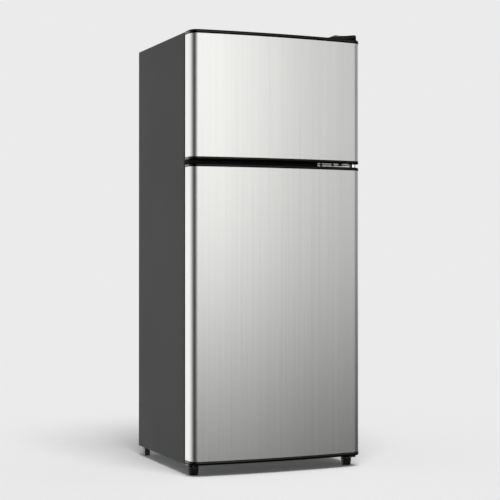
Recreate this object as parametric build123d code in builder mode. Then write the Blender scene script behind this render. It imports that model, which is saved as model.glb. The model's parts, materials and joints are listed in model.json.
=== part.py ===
from build123d import *
import os

os.makedirs("parts", exist_ok=True)

# ---------------------------------------------------------------------------------------------
# Driving dimensions (millimetres). The frame stands on the floor at z = 0, faces -Y, and has
# its origin in the middle of its footprint. "half" values are measured from the centre plane.
# ---------------------------------------------------------------------------------------------

# Cabinet
cabinet_width = 460.0
cabinet_depth = 352.0
cabinet_floor_gap = 26.5       # floor to the underside of the cabinet
roof_drop = 1.5                # cabinet roof below the top of the upper door
shell_sheet = 1.0              # painted steel sheet
shell_return = 12.0            # folded edge round the cabinet's front
liner_sheet = 1.5              # vacuum-formed plastic
side_wall = 34.0               # outside of the cabinet to the inside of the liner
roof_wall = 38.0
rear_wall = 38.0
floor_wall = 45.0
mullion_half = 38.0            # middle of the gap between the doors to either cavity
niche_depth = 130.0            # compressor compartment, measured from the back panel
niche_height = 170.0
niche_wall = 30.0              # insulation between the niche and the fridge cavity
condenser_reach = 22.0         # back panel to the rearmost wire

# Doors
door_reveal = 0.5              # door skin narrower than the cabinet, each side
door_floor_gap = 28.5
door_depth = 45.0              # end plane of the bowed front to the back of the door
front_crown = 13.5             # how far the bowed front stands forward in the middle
door_corner_radius = 22.0
fridge_skin_height = 714.0
freezer_skin_height = 298.7
end_cap_height = 9.5           # caps at the very top and the very bottom
inner_cap_height = 8.0         # caps that face the gap between the doors
door_gap = 8.3
cap_proud = 1.0                # caps stand out round the skin
cap_wall = 2.5
cap_edge_radius = 2.2
skin_sheet = 1.0
skin_return = 10.0
gasket_gap = 7.0               # back of the door to the front of the cabinet
gasket_inset = 18.0
gasket_width = 13.0
gasket_bulb_width = 9.0
gasket_base = 2.0
dyke_clearance = 12.0          # raised edge of the door liner to the cavity wall, each side
dyke_reach = 28.0              # raised edge past the cabinet's front
dyke_width = 22.0
dyke_corner_radius = 8.0
pocket_sink = 10.0             # door pocket deeper than the back of the door

# Hinges
hinge_inset = 16.0             # pin to the side of the cabinet, and to the end plane of the door
pin_radius = 4.0
pin_clearance = 0.05
pin_length = 14.0              # length of a pin inside a door
bush_radius = 7.5
bush_length = 18.0
boss_radius = 11.0
plate_thickness = 3.0
hinge_washer_gap = 2.0         # lower and upper hinge plates to the door
mid_hinge_length = 88.0
mid_flange_half = 12.0
mid_plate_lift = 1.0           # lower door to the middle hinge's plate
collar_radius = 6.5            # collar that the upper door rests on
collar_gap = 0.3
mid_flange_sheet = 2.0         # thin enough for the doors' back corners to swing past
top_plate_length = 95.0

# Feet
foot_height = 21.5
foot_top_radius = 14.0
foot_base_radius = 12.0
foot_inset = 21.0              # foot centre to the side of the cabinet
foot_behind_door = 42.0        # foot centre behind the end plane of the door
stud_radius = 4.0
stud_clearance = 0.05
rear_foot_size = (14.0, 14.0)
rear_foot_inset = 12.0
rear_foot_from_back = 2.0

# Clearances
fill_clearance = 0.2           # foam to sheet metal and to liners
slide_clearance = 1.5          # shelves, bins and drawer to the walls beside them
seal_clearance = 0.3           # gasket to the cabinet's front

# Cabinet contents
shelf_front = 56.0             # shelf edge behind the cabinet's front
shelf_glass = 4.0
upper_shelf_drop = 165.0       # below the fridge's ceiling
crisper_lid_height = 8.0       # above the step over the compressor
ledge_height = 5.0
ledge_width = 6.0
freezer_shelf_height = 118.0   # above the freezer floor
shelf_frame_radius = 2.4
shelf_wire_radius = 1.5
drawer_wall = 2.2
drawer_front_gap = 58.0        # drawer front behind the cabinet's front
drawer_drop = 6.0              # drawer rim below its lid
bin_wall = 2.0
bin_reach = 50.0               # bin front behind the cabinet's front
bottle_bin_height = 105.0
bin_height = 62.0
control_half = 78.0
control_length = 120.0
control_height = 40.0
control_front = 34.0           # control box behind the cabinet's front
knob_radius = 17.0
plunger_radius = 3.2
plunger_tip_gap = 0.4          # tip to the closed door

# Cooling circuit
compressor_radius = 59.0
compressor_height = 112.0
grommet_height = 12.0
tube_radius = 2.4
wire_radius = 0.8
condenser_half = 182.0
condenser_bottom = 245.0
condenser_drop = 154.0         # highest run below the roof
condenser_runs = 13
condenser_wire_count = 22      # on each face
evaporator_sheet = 1.5

# ---------------------------------------------------------------------------------------------
# Places worked out from them
# ---------------------------------------------------------------------------------------------

half_width = cabinet_width / 2
door_half = half_width - door_reveal
overall_depth = cap_proud + front_crown + door_depth + gasket_gap + cabinet_depth + condenser_reach
y_door = -overall_depth / 2 + cap_proud + front_crown      # end plane of the bowed front
y_door_back = y_door + door_depth
y_front = y_door_back + gasket_gap                         # cabinet front
y_back = y_front + cabinet_depth                           # outside of the back panel
y_rear = y_back + condenser_reach

z_fridge_skin = door_floor_gap + end_cap_height
z_fridge_skin_top = z_fridge_skin + fridge_skin_height
z_fridge_top = z_fridge_skin_top + inner_cap_height
z_freezer = z_fridge_top + door_gap
z_freezer_skin = z_freezer + inner_cap_height
z_freezer_skin_top = z_freezer_skin + freezer_skin_height
z_freezer_top = z_freezer_skin_top + end_cap_height
z_gap = z_fridge_top + door_gap / 2
z_roof = z_freezer_top - roof_drop
z_base = cabinet_floor_gap
z_step = z_base + niche_height + niche_wall                # inside floor over the compressor

cavity_half = half_width - side_wall
cavity_back = y_back - rear_wall
fridge_floor = z_base + floor_wall
fridge_ceiling = z_gap - mullion_half
freezer_floor = z_gap + mullion_half
freezer_ceiling = z_roof - roof_wall
y_niche = y_back - niche_depth
step_front = y_niche - niche_wall
rail_half = mullion_half - 22.0

x_pin = half_width - hinge_inset
y_pin = y_door + hinge_inset
x_foot = half_width - foot_inset
y_foot = y_door + foot_behind_door
inner_half = half_width - shell_sheet
liner_half = half_width - shell_return                     # liner flanges end at the shell's folds
drain_x, y_drain, drain_radius = 60.0, cavity_back - 14, 6.0


def block(xs, ys, zs, mode=Mode.ADD):
    """Box between two x, two y and two z values."""
    centre = ((xs[0] + xs[1]) / 2, (ys[0] + ys[1]) / 2, (zs[0] + zs[1]) / 2)
    with Locations(centre):
        return Box(xs[1] - xs[0], ys[1] - ys[0], zs[1] - zs[0], mode=mode)


def rod(x, y, z, radius, height, mode=Mode.ADD):
    """Upright cylinder that stands on z."""
    with Locations((x, y, z)):
        return Cylinder(radius, height, align=(Align.CENTER, Align.CENTER, Align.MIN), mode=mode)


def finish(piece, label):
    """Name a finished sub-part and write it."""
    piece.part.label = label
    export_step(piece.part, f"parts/{label}.step")


def both(half):
    """Span from one side to the other."""
    return (-half, half)


# ---------------------------------------------------------------------------------------------
# Cabinet shell and panels
# ---------------------------------------------------------------------------------------------

with BuildPart() as outer_shell:
    block(both(half_width), (y_front, y_back), (z_base, z_roof))
    fillet(outer_shell.edges().filter_by(Axis.Y).group_by(Axis.Z)[-1], 1.5)
    block(both(inner_half), (y_front + shell_sheet, y_back), (z_base, z_roof - shell_sheet), Mode.SUBTRACT)
    block(both(liner_half), (y_front, y_front + shell_sheet), (z_base, z_roof - shell_return), Mode.SUBTRACT)
finish(outer_shell, "outer_shell")

with BuildPart() as back_panel:
    block(both(inner_half), (y_back - shell_sheet, y_back), (z_base + niche_height, z_roof - shell_sheet))
finish(back_panel, "back_panel")

with BuildPart() as niche_panel:
    block(both(inner_half), (y_niche - shell_sheet, y_niche), (z_base + shell_sheet, z_base + niche_height))
    block(both(inner_half), (y_niche - shell_sheet, y_back - shell_sheet),
          (z_base + niche_height - shell_sheet, z_base + niche_height))
    rod(drain_x, y_drain, z_base + niche_height - 2, drain_radius, 4, Mode.SUBTRACT)
finish(niche_panel, "niche_panel")

with BuildPart() as bottom_panel:
    block(both(inner_half), (y_front + liner_sheet, y_niche), (z_base, z_base + shell_sheet))
finish(bottom_panel, "bottom_panel")

# ---------------------------------------------------------------------------------------------
# Liners: thin tubs with a flange that meets the shell's folds and the mullion rail
# ---------------------------------------------------------------------------------------------


def add_ledges(heights, back):
    """Moulded rails on both side walls, one pair under each shelf."""
    for side in (-1, 1):
        outer, inner = side * cavity_half, side * (cavity_half - ledge_width)
        for height in heights:
            block(sorted((outer, inner)), (y_front + shelf_front, back), (height - ledge_height, height))


with BuildPart() as freezer_tub:
    block(both(cavity_half + liner_sheet), (y_front, cavity_back + liner_sheet),
          (freezer_floor - liner_sheet, freezer_ceiling + liner_sheet))

z_freezer_shelf = freezer_floor + freezer_shelf_height
with BuildPart() as freezer_liner:
    block(both(liner_half), (y_front, y_front + liner_sheet), (z_gap + rail_half, z_roof - shell_return))
    add(freezer_tub.part)
    block(both(cavity_half), (y_front, cavity_back), (freezer_floor, freezer_ceiling), Mode.SUBTRACT)
    add_ledges([z_freezer_shelf], cavity_back)
finish(freezer_liner, "freezer_liner")

with BuildPart() as fridge_tub:
    block(both(cavity_half + liner_sheet), (y_front, step_front + liner_sheet),
          (fridge_floor - liner_sheet, fridge_ceiling + liner_sheet))
    block(both(cavity_half + liner_sheet), (y_front, cavity_back + liner_sheet),
          (z_step - liner_sheet, fridge_ceiling + liner_sheet))

z_crisper_lid = z_step + crisper_lid_height
z_upper_shelf = fridge_ceiling - upper_shelf_drop
z_lower_shelf = (z_crisper_lid + z_upper_shelf) / 2
with BuildPart() as fridge_liner:
    block(both(liner_half), (y_front, y_front + liner_sheet), (z_base + shell_sheet, z_gap - rail_half))
    add(fridge_tub.part)
    block(both(cavity_half), (y_front, step_front), (fridge_floor, fridge_ceiling), Mode.SUBTRACT)
    block(both(cavity_half), (y_front, cavity_back), (z_step, fridge_ceiling), Mode.SUBTRACT)
    add_ledges([z_crisper_lid, z_lower_shelf, z_upper_shelf], cavity_back)
finish(fridge_liner, "fridge_liner")

with BuildPart() as mullion_rail:
    block(both(liner_half), (y_front, y_front + 14), (z_gap - rail_half, z_gap + rail_half))
finish(mullion_rail, "mullion_rail")

# ---------------------------------------------------------------------------------------------
# Evaporator plates against the outside of the liners, drain tube and insulation
# ---------------------------------------------------------------------------------------------

plate_half = cavity_half - 30
y_plate = cavity_back + liner_sheet
with BuildPart() as evaporator:
    block(both(plate_half), (y_plate, y_plate + evaporator_sheet),
          (freezer_floor - liner_sheet - evaporator_sheet, freezer_ceiling + liner_sheet))
    block(both(plate_half), (y_front + 60, y_plate),
          (freezer_floor - liner_sheet - evaporator_sheet, freezer_floor - liner_sheet))
    block(both(plate_half), (y_plate, y_plate + evaporator_sheet), (z_upper_shelf, fridge_ceiling - 40))
finish(evaporator, "evaporator")

with BuildPart() as drain_tube:
    rod(drain_x, y_drain, z_base + niche_height - 12, drain_radius, niche_wall + 12 - liner_sheet)
    rod(drain_x, y_drain, z_base + niche_height - 12, drain_radius - 1.5, niche_wall + 12, Mode.SUBTRACT)
finish(drain_tube, "drain_tube")

with BuildPart() as cabinet_foam:
    block(both(inner_half - fill_clearance),
          (y_front + liner_sheet + fill_clearance, y_back - shell_sheet - fill_clearance),
          (z_base + shell_sheet + fill_clearance, z_roof - shell_sheet - fill_clearance))
    block(both(half_width), (y_niche - shell_sheet - fill_clearance, y_back),
          (z_base, z_base + niche_height + fill_clearance), Mode.SUBTRACT)
    add(freezer_tub.part, mode=Mode.SUBTRACT)
    add(fridge_tub.part, mode=Mode.SUBTRACT)
    add(mullion_rail.part, mode=Mode.SUBTRACT)
    add(evaporator.part, mode=Mode.SUBTRACT)
    rod(drain_x, y_drain, z_base + niche_height, drain_radius, niche_wall, Mode.SUBTRACT)
finish(cabinet_foam, "cabinet_foam")

# ---------------------------------------------------------------------------------------------
# Doors
# ---------------------------------------------------------------------------------------------


def door_plan(level, inset, back):
    """Outline of a door seen from above: bowed front, rounded front corners, straight sides."""
    half = door_half - inset
    with BuildSketch(Plane.XY.offset(level)) as plan:
        with BuildLine():
            Polyline((-half, y_door + inset), (-half, back), (half, back), (half, y_door + inset))
            ThreePointArc((-half, y_door + inset), (0, y_door - front_crown + inset), (half, y_door + inset))
        make_face()
        fillet(plan.vertices().group_by(Axis.Y)[0], door_corner_radius - inset)
    return plan.sketch


def skin_part(z0, z1):
    """Sheet wrapped over the front and both sides, folded in at the back."""
    y_fold = y_door_back - liner_sheet
    with BuildPart() as skin:
        extrude(door_plan(z0, 0, y_fold), amount=z1 - z0)
        extrude(door_plan(z0, skin_sheet, y_fold - skin_sheet), amount=z1 - z0, mode=Mode.SUBTRACT)
        block(both(door_half - skin_return), (y_fold - skin_sheet, y_fold), (z0, z1), Mode.SUBTRACT)
    return skin


def cap_part(z0, z1, outside):
    """Moulded end cap: a tray with a rounded outer edge and a boss for the hinge bush.

    outside is +1 where the cap's closed side faces up and -1 where it faces down.
    """
    with BuildPart() as cap:
        extrude(door_plan(z0, -cap_proud, y_door_back), amount=z1 - z0)
        rim = cap.faces().sort_by(Axis.Z)[-1 if outside > 0 else 0].edges()
        fillet(rim, cap_edge_radius)
        low, high = (z0, z1 - cap_wall) if outside > 0 else (z0 + cap_wall, z1)
        extrude(door_plan(low, cap_wall, y_door_back - cap_wall), amount=high - low, mode=Mode.SUBTRACT)
        boss_low = z1 - bush_length if outside > 0 else z0
        with BuildSketch(Plane.XY.offset(boss_low + (0 if outside > 0 else cap_wall / 2))):
            with Locations((x_pin, y_pin)):
                Circle(boss_radius)
        extrude(amount=bush_length - cap_wall / 2)
        rod(x_pin, y_pin, boss_low - 1, bush_radius, bush_length + 2, Mode.SUBTRACT)
    return cap


def bush_part(z_low, z_high):
    """Hinge bushes: one sleeve in each cap."""
    with BuildPart() as bushes:
        for base in (z_low, z_high - bush_length):
            rod(x_pin, y_pin, base, bush_radius, bush_length)
            rod(x_pin, y_pin, base, pin_radius + pin_clearance, bush_length, Mode.SUBTRACT)
    return bushes


def dyke_solid(z0, z1, inset, start):
    """Raised edge of a door liner without its pocket, shrunk by inset; z0 and z1 bound the cavity."""
    half = cavity_half - dyke_clearance - inset
    with BuildPart() as dyke:
        block(both(half), (start, y_front + dyke_reach - inset),
              (z0 + dyke_clearance + inset, z1 - dyke_clearance - inset))
        fillet(dyke.edges().filter_by(Axis.Y), dyke_corner_radius - inset)
    return dyke.part


def pocket_solid(z0, z1, grow, end):
    """Space between the raised edges, grown by grow, from its sunk floor to end."""
    half = cavity_half - dyke_clearance - dyke_width + grow
    margin = dyke_clearance + dyke_width - grow
    with BuildPart() as pocket:
        block(both(half), (y_door_back - pocket_sink - grow, end), (z0 + margin, z1 - margin))
    return pocket.part


def door_liner_part(z0, z1, cavity):
    """Vacuum-formed inner panel: flange, raised edge and the pocket that holds the bins."""
    flange_front, face = y_door_back - liner_sheet, y_front + dyke_reach
    with BuildPart() as liner:
        block(both(door_half - skin_sheet), (flange_front, y_door_back), (z0, z1))
        add(dyke_solid(*cavity, 0, flange_front))
        add(dyke_solid(*cavity, liner_sheet, flange_front), mode=Mode.SUBTRACT)
        add(pocket_solid(*cavity, liner_sheet, face))
        add(pocket_solid(*cavity, 0, face + 1), mode=Mode.SUBTRACT)
    return liner


def door_foam_part(z0, z1, cavity):
    """Insulation that fills the skin and the hollow of the raised edge."""
    gap = liner_sheet + fill_clearance
    foam_back = y_door_back - liner_sheet - skin_sheet - fill_clearance
    with BuildPart() as foam:
        extrude(door_plan(z0, skin_sheet + fill_clearance, foam_back), amount=z1 - z0)
        add(dyke_solid(*cavity, gap, foam_back - 1))
        add(pocket_solid(*cavity, gap, y_front + dyke_reach), mode=Mode.SUBTRACT)
        for base in (z0 - bush_length, z1 - bush_length):
            rod(x_pin, y_pin, base, boss_radius + fill_clearance, 2 * bush_length, Mode.SUBTRACT)
    return foam


def gasket_part(z0, z1):
    """Magnetic seal: a flat base on the door and a narrower bulb that meets the cabinet."""
    half = half_width - gasket_inset
    low, high = z0 + gasket_inset, z1 - gasket_inset
    side = (gasket_width - gasket_bulb_width) / 2
    with BuildPart() as gasket:
        block(both(half), (y_door_back, y_door_back + gasket_base), (low, high))
        block(both(half - side), (y_door_back + gasket_base, y_front - seal_clearance),
              (low + side, high - side))
        block(both(half - gasket_width + side), (y_door_back + gasket_base, y_front),
              (low + gasket_width - side, high - gasket_width + side), Mode.SUBTRACT)
        block(both(half - gasket_width), (y_door_back, y_front), (low + gasket_width, high - gasket_width),
              Mode.SUBTRACT)
        fillet(gasket.edges().group_by(Axis.Y)[-1], 1.2)
    return gasket


def bin_part(base, height):
    """Open tray that hangs between the raised edges of a door liner."""
    half = cavity_half - dyke_clearance - dyke_width - slide_clearance
    ys = (y_door_back - pocket_sink + slide_clearance, y_front + bin_reach)
    with BuildPart() as tray:
        block(both(half), ys, (base, base + height))
        fillet(tray.edges().filter_by(Axis.Z).group_by(Axis.Y)[-1], 14)
        fillet(tray.edges().group_by(Axis.Z)[0], 3)
        offset(amount=-bin_wall, openings=tray.faces().sort_by(Axis.Z)[-1])
    return tray


freezer_cavity = (freezer_floor, freezer_ceiling)
fridge_cavity = (fridge_floor, fridge_ceiling)
doors = {
    "freezer_door": (z_freezer, z_freezer_skin, z_freezer_skin_top, z_freezer_top, freezer_cavity),
    "fridge_door": (door_floor_gap, z_fridge_skin, z_fridge_skin_top, z_fridge_top, fridge_cavity),
}
for door, (low, skin_low, skin_high, high, cavity) in doors.items():
    finish(skin_part(skin_low, skin_high), f"{door}_skin")
    finish(cap_part(skin_high, high, 1), f"{door}_top_cap")
    finish(cap_part(low, skin_low, -1), f"{door}_bottom_cap")
    finish(bush_part(low, high), f"{door}_bushes")
    finish(door_liner_part(skin_low, skin_high, cavity), f"{door}_liner")
    finish(door_foam_part(skin_low, skin_high, cavity), f"{door}_foam")
    finish(gasket_part(low, high), f"{door}_gasket")

first_bin = dyke_clearance + dyke_width + 4                # lowest bin above the cavity floor
finish(bin_part(freezer_floor + first_bin, bin_height), "freezer_door_bin")
finish(bin_part(fridge_floor + first_bin, bottle_bin_height), "fridge_door_bottle_bin")
finish(bin_part(z_lower_shelf - 20, bin_height), "fridge_door_middle_bin")
finish(bin_part(z_upper_shelf + 20, bin_height), "fridge_door_upper_bin")

# ---------------------------------------------------------------------------------------------
# Hinges: each door turns on two pins that stand in its bushes
# ---------------------------------------------------------------------------------------------

# Moulded cover over the top hinge: a swept-up left end, then a lower flat block
cover_left, cover_right = half_width - 85, half_width - 7
cover_front, cover_back = y_door + 5, y_pin + top_plate_length + 6
cover_base, cover_peak = z_freezer_top + 0.8, z_freezer_top + 15.5
cover_step, cover_dip = half_width - 50, 3.0
cover_wall, cover_edge_radius, cover_corner_radius = 2.0, 4.0, 8.0
skirt_inset = 3.0                                          # cover's side to its skirt on the roof

z_top_plate = z_freezer_top + hinge_washer_gap
top_plate_edge = x_pin + 6
with BuildPart() as top_hinge_bracket:
    with BuildSketch(Plane.XY.offset(z_top_plate)):
        with Locations((x_pin, y_pin)):
            Circle(top_plate_edge - x_pin)
        with BuildLine():
            Polyline((x_pin - 6, y_pin), (x_pin - 26, y_front + 6), (x_pin - 26, y_pin + top_plate_length),
                     (top_plate_edge, y_pin + top_plate_length), (top_plate_edge, y_pin), close=True)
        make_face()
    extrude(amount=plate_thickness)
    block((x_pin - 26, cover_right - skirt_inset - cover_wall - fill_clearance),
          (y_front + 8, y_pin + top_plate_length), (z_roof, z_top_plate))
    rod(x_pin, y_pin, z_freezer_top - pin_length, pin_radius, z_top_plate - z_freezer_top + pin_length)
finish(top_hinge_bracket, "top_hinge_bracket")

mid_low = z_fridge_top + mid_plate_lift
plate_edge = x_pin + 8
with BuildPart() as mid_hinge:
    block((half_width - mid_hinge_length - 10, plate_edge), (y_front - mid_flange_sheet, y_front),
          (z_gap - mid_flange_half, z_gap + mid_flange_half))
    with BuildSketch(Plane.XY.offset(mid_low)):
        with Locations((x_pin, y_pin)):
            Circle(plate_edge - x_pin)
        with BuildLine():
            Polyline((x_pin - 8, y_pin), (half_width - mid_hinge_length, y_front - 1),
                     (plate_edge, y_front - 1), (plate_edge, y_pin), close=True)
        make_face()
    extrude(amount=plate_thickness)
    rod(x_pin, y_pin, z_fridge_top - pin_length, pin_radius, 2 * pin_length + door_gap)
    rod(x_pin, y_pin, mid_low, collar_radius, z_freezer - collar_gap - mid_low)
finish(mid_hinge, "mid_hinge")

bracket_low = z_base - plate_thickness
with BuildPart() as lower_hinge_bracket:
    with BuildSketch(Plane.XY.offset(bracket_low)):
        with Locations((x_pin, y_pin)):
            Circle(plate_edge - x_pin)
        with BuildLine():
            Polyline((x_pin - 8, y_pin), (x_foot - 36, y_front - 8), (x_foot - 36, y_front + 42),
                     (plate_edge, y_front + 42), (plate_edge, y_pin), close=True)
        make_face()
    extrude(amount=plate_thickness)
    rod(x_pin, y_pin, bracket_low, pin_radius, door_floor_gap - bracket_low + pin_length)
    rod(x_foot, y_foot, bracket_low - 1, stud_radius, plate_thickness + 2, Mode.SUBTRACT)
finish(lower_hinge_bracket, "lower_hinge_bracket")

with BuildPart() as left_foot_bracket:
    with BuildSketch(Plane.XY.offset(bracket_low)):
        with Locations((-x_foot, y_foot)):
            Circle(foot_top_radius)
        with Locations((-x_foot, (y_foot + y_front + 42) / 2)):
            Rectangle(2 * foot_top_radius, y_front + 42 - y_foot)
    extrude(amount=plate_thickness)
    rod(-x_foot, y_foot, bracket_low - 1, stud_radius, plate_thickness + 2, Mode.SUBTRACT)
finish(left_foot_bracket, "left_foot_bracket")


def cover_form(inset, base):
    """Outer form of the cover shrunk by inset: its front outline carried back, round at the right."""
    left, right, peak = cover_left + inset, cover_right - inset, cover_peak - inset
    with BuildPart() as form:
        with BuildSketch(Plane.XZ.offset(-(cover_front + inset))):
            with BuildLine():
                Polyline((right, peak - cover_dip), (right, base), (left, base), (left, cover_base + 1.5))
                ThreePointArc((left, cover_base + 1.5), (cover_step - 20, peak - 1.6), (cover_step, peak))
                Polyline((cover_step, peak), (cover_step + 3, peak - cover_dip), (right, peak - cover_dip))
            make_face()
        extrude(amount=-(cover_back - cover_front - 2 * inset))
        fillet(form.edges().filter_by(Axis.Z).sort_by(Axis.X)[-2:], cover_corner_radius - inset)
        lid = form.faces().filter_by(Axis.Z).sort_by(Axis.Z)[-1]
        fillet(lid.edges().sort_by(Axis.X)[1:], cover_edge_radius - inset)
    return form.part


skirt_hollow = skirt_inset + cover_wall
with BuildPart() as top_hinge_cover:
    add(cover_form(0, cover_base))
    block((cover_left + skirt_inset, cover_right - skirt_inset), (y_front + 6, cover_back - skirt_inset),
          (z_roof, cover_base + 1))
    add(cover_form(cover_wall, cover_base - 1), mode=Mode.SUBTRACT)
    block((cover_left + skirt_hollow, cover_right - skirt_hollow), (y_front + 8, cover_back - skirt_hollow),
          (z_roof - 1, cover_base + 2), Mode.SUBTRACT)
finish(top_hinge_cover, "top_hinge_cover")

head_radius, head_height = 4.6, 2.2
flange_head_radius = 3.7
z_flange_screw = mid_low + plate_thickness + flange_head_radius + fill_clearance
with BuildPart() as hinge_screws:
    for x in (half_width - mid_hinge_length, half_width - 55):
        with Locations(Plane((x, y_front - mid_flange_sheet, z_flange_screw), z_dir=(0, -1, 0))):
            Cylinder(flange_head_radius, head_height, align=(Align.CENTER, Align.CENTER, Align.MIN))
    for y in (y_front + 24, y_front + 46):
        rod(x_pin - 10, y, z_top_plate + plate_thickness, head_radius, head_height)
    for x, y in ((x_foot - 24, y_front + 28), (x_foot, y_front + 28), (-x_foot, y_front + 28)):
        rod(x, y, bracket_low - head_height, head_radius, head_height)
finish(hinge_screws, "hinge_screws")

# ---------------------------------------------------------------------------------------------
# Feet and base
# ---------------------------------------------------------------------------------------------

stud_depth = 4.0                                           # stud's end above the floor
with BuildPart() as foot_studs:
    for side in (-1, 1):
        rod(side * x_foot, y_foot, stud_depth, stud_radius, z_base - stud_depth)
finish(foot_studs, "foot_studs")

for side, name in ((-1, "left_foot"), (1, "right_foot")):
    with BuildPart() as foot:
        with Locations((side * x_foot, y_foot, 0)):
            Cone(foot_base_radius, foot_top_radius, foot_height,
                 align=(Align.CENTER, Align.CENTER, Align.MIN))
        fillet(foot.edges().filter_by(GeomType.CIRCLE), 1.8)
        rod(side * x_foot, y_foot, stud_depth - 1, stud_radius + stud_clearance, foot_height, Mode.SUBTRACT)
    finish(foot, name)

with BuildPart() as rear_feet:
    for side in (-1, 1):
        x_outer = side * (half_width - rear_foot_inset)
        x_inner = side * (half_width - rear_foot_inset - rear_foot_size[0])
        ys = (y_back - rear_foot_from_back - rear_foot_size[1], y_back - rear_foot_from_back)
        block(sorted((x_outer, x_inner)), ys, (0, z_base))
    fillet(rear_feet.edges().group_by(Axis.Z)[0], 1.5)
finish(rear_feet, "rear_feet")

rail_reach = x_foot - 42
with BuildPart() as front_base_rail:
    block(both(rail_reach), (y_front + 1, y_front + 25), (z_base - 5, z_base))
    block(both(rail_reach), (y_front + 2.5, y_front + 25), (z_base - 6, z_base - 1.5), Mode.SUBTRACT)
finish(front_base_rail, "front_base_rail")

# ---------------------------------------------------------------------------------------------
# Compressor compartment
# ---------------------------------------------------------------------------------------------

tray_bottom = z_base + 2
x_compressor, y_compressor = -60.0, y_back - niche_depth / 2 + 4
z_compressor = tray_bottom + grommet_height
grommet_spots = [(x_compressor + dx, y_compressor + dy) for dx in (-62, 62) for dy in (-40, 40)]

with BuildPart() as compressor_plate:
    block(both(inner_half), (y_niche + 6, y_back), (z_base, tray_bottom))
    block(both(inner_half), (y_back - 2, y_back), (z_base, z_base + 14))
    for x, y in grommet_spots:
        rod(x, y, z_base - 1, 3, 4, Mode.SUBTRACT)
finish(compressor_plate, "compressor_plate")

with BuildPart() as compressor:
    with BuildSketch(Plane.XZ) as can:
        with BuildLine():
            Line((0, 8), (compressor_radius - 22, 8))
            RadiusArc((compressor_radius - 22, 8), (compressor_radius, 30), -22)
            Polyline((compressor_radius, 30), (compressor_radius, 58), (compressor_radius + 5, 58),
                     (compressor_radius + 5, 62), (compressor_radius, 62),
                     (compressor_radius, compressor_height - 34))
            RadiusArc((compressor_radius, compressor_height - 34),
                      (compressor_radius - 34, compressor_height), -34)
            Polyline((compressor_radius - 34, compressor_height), (0, compressor_height), (0, 8))
        make_face()
    revolve(axis=Axis.Z)
    block((-76, 76), (-50, -30), (0, 3))
    block((-76, 76), (30, 50), (0, 3))
    block((-24, 24), (-50, 50), (0, 9))
    for x, y in grommet_spots:
        rod(x - x_compressor, y - y_compressor, -1, 5, 5, Mode.SUBTRACT)
compressor.part.position = (x_compressor, y_compressor, z_compressor)
finish(compressor, "compressor")

with BuildPart() as compressor_grommets:
    for x, y in grommet_spots:
        rod(x, y, tray_bottom, 9, grommet_height)
        rod(x, y, z_compressor, 5, 3)
        rod(x, y, z_compressor + 3, 8, 3)
        rod(x, y, tray_bottom - 1, 3, grommet_height + 8, Mode.SUBTRACT)
finish(compressor_grommets, "compressor_grommets")

# The terminal cover sits on the side of the compressor, with the gland that a mains lead enters by
x_terminal, terminal_depth = x_compressor + compressor_radius + 6, 34.0
y_gland, z_gland = y_compressor + 8, z_compressor + 36
with BuildPart() as terminal_cover:
    block((x_terminal, x_terminal + terminal_depth), (y_compressor - 28, y_compressor + 28),
          (z_compressor + 22, z_compressor + 78))
    fillet(terminal_cover.edges().group_by(Axis.X)[-1], 5)
    gland_plane = Plane((x_terminal + terminal_depth - 1, y_gland, z_gland),
                        x_dir=(0, 1, 0), z_dir=(1, 0, 0))
    with BuildSketch(gland_plane):
        Circle(7)
    extrude(amount=17, taper=8)
    with BuildSketch(gland_plane.offset(-13)):
        Circle(3.4)
    extrude(amount=40, mode=Mode.SUBTRACT)
finish(terminal_cover, "terminal_cover")

z_tray = z_compressor + compressor_height + 4
with BuildPart() as drip_tray:
    block((x_compressor - 66, x_compressor + 140), (y_niche + 14, y_back - 8), (z_tray, z_tray + 22))
    fillet(drip_tray.edges().filter_by(Axis.Z), 12)
    offset(amount=-2, openings=drip_tray.faces().sort_by(Axis.Z)[-1])
finish(drip_tray, "drip_tray")

x_riser = condenser_half + 8                               # pipes that run up beside the condenser
x_drier, y_drier = x_riser, y_back - 52
with BuildPart() as filter_drier:
    with BuildSketch(Plane.XZ) as drier:
        with BuildLine():
            Polyline((0, 0), (tube_radius + 1, 0), (tube_radius + 1, 8), (9, 20), (9, 74),
                     (tube_radius + 1, 86), (tube_radius + 1, 94), (0, 94), close=True)
        make_face()
    revolve(axis=Axis.Z)
filter_drier.part.position = (x_drier, y_drier, z_base + 40)
finish(filter_drier, "filter_drier")


def pipe(points, radii):
    """Round pipe along straight runs joined by arcs."""
    with BuildPart() as tube:
        with BuildLine() as route:
            FilletPolyline(*points, radius=radii)
        with BuildSketch(Plane(route.line @ 0, z_dir=route.line % 0)):
            Circle(tube_radius)
        sweep()
    return tube.part


y_coil = y_rear - 2 * wire_radius - tube_radius            # centre of the condenser's tube
coil_top = z_roof - condenser_drop
condenser_pitch = (coil_top - condenser_bottom) / (condenser_runs - 1)
bend = condenser_pitch / 2
coil_half = condenser_half - bend
z_stub = z_compressor + 68
pipe_start = compressor_radius + 0.3
suction_x = 24.0
suction_y = (pipe_start**2 - (suction_x - tube_radius) ** 2) ** 0.5
with BuildPart() as refrigerant_pipes:
    add(pipe([(x_compressor - pipe_start, y_compressor, z_stub),
              (x_compressor - compressor_radius - 25, y_compressor, z_stub),
              (x_compressor - compressor_radius - 25, y_coil, z_stub + 16),
              (-x_riser, y_coil, z_stub + 56),
              (-x_riser, y_coil, condenser_bottom), (-coil_half, y_coil, condenser_bottom)], [8, 10, 10, 8]))
    add(pipe([(x_drier, y_drier, z_base + 134), (x_drier, y_drier, z_base + 144),
              (x_drier, y_coil, z_base + 152),
              (x_riser, y_coil, coil_top), (coil_half, y_coil, coil_top)], [6, 8, 8]))
    add(pipe([(x_compressor + suction_x, y_compressor - suction_y, z_stub + 6),
              (x_compressor + suction_x, y_niche + 4, z_stub + 6),
              (x_compressor + 84, y_niche + 4, z_stub + 6),
              (x_compressor + 84, y_niche + 4, z_base + niche_height - shell_sheet)], [2.6, 5]))
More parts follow.
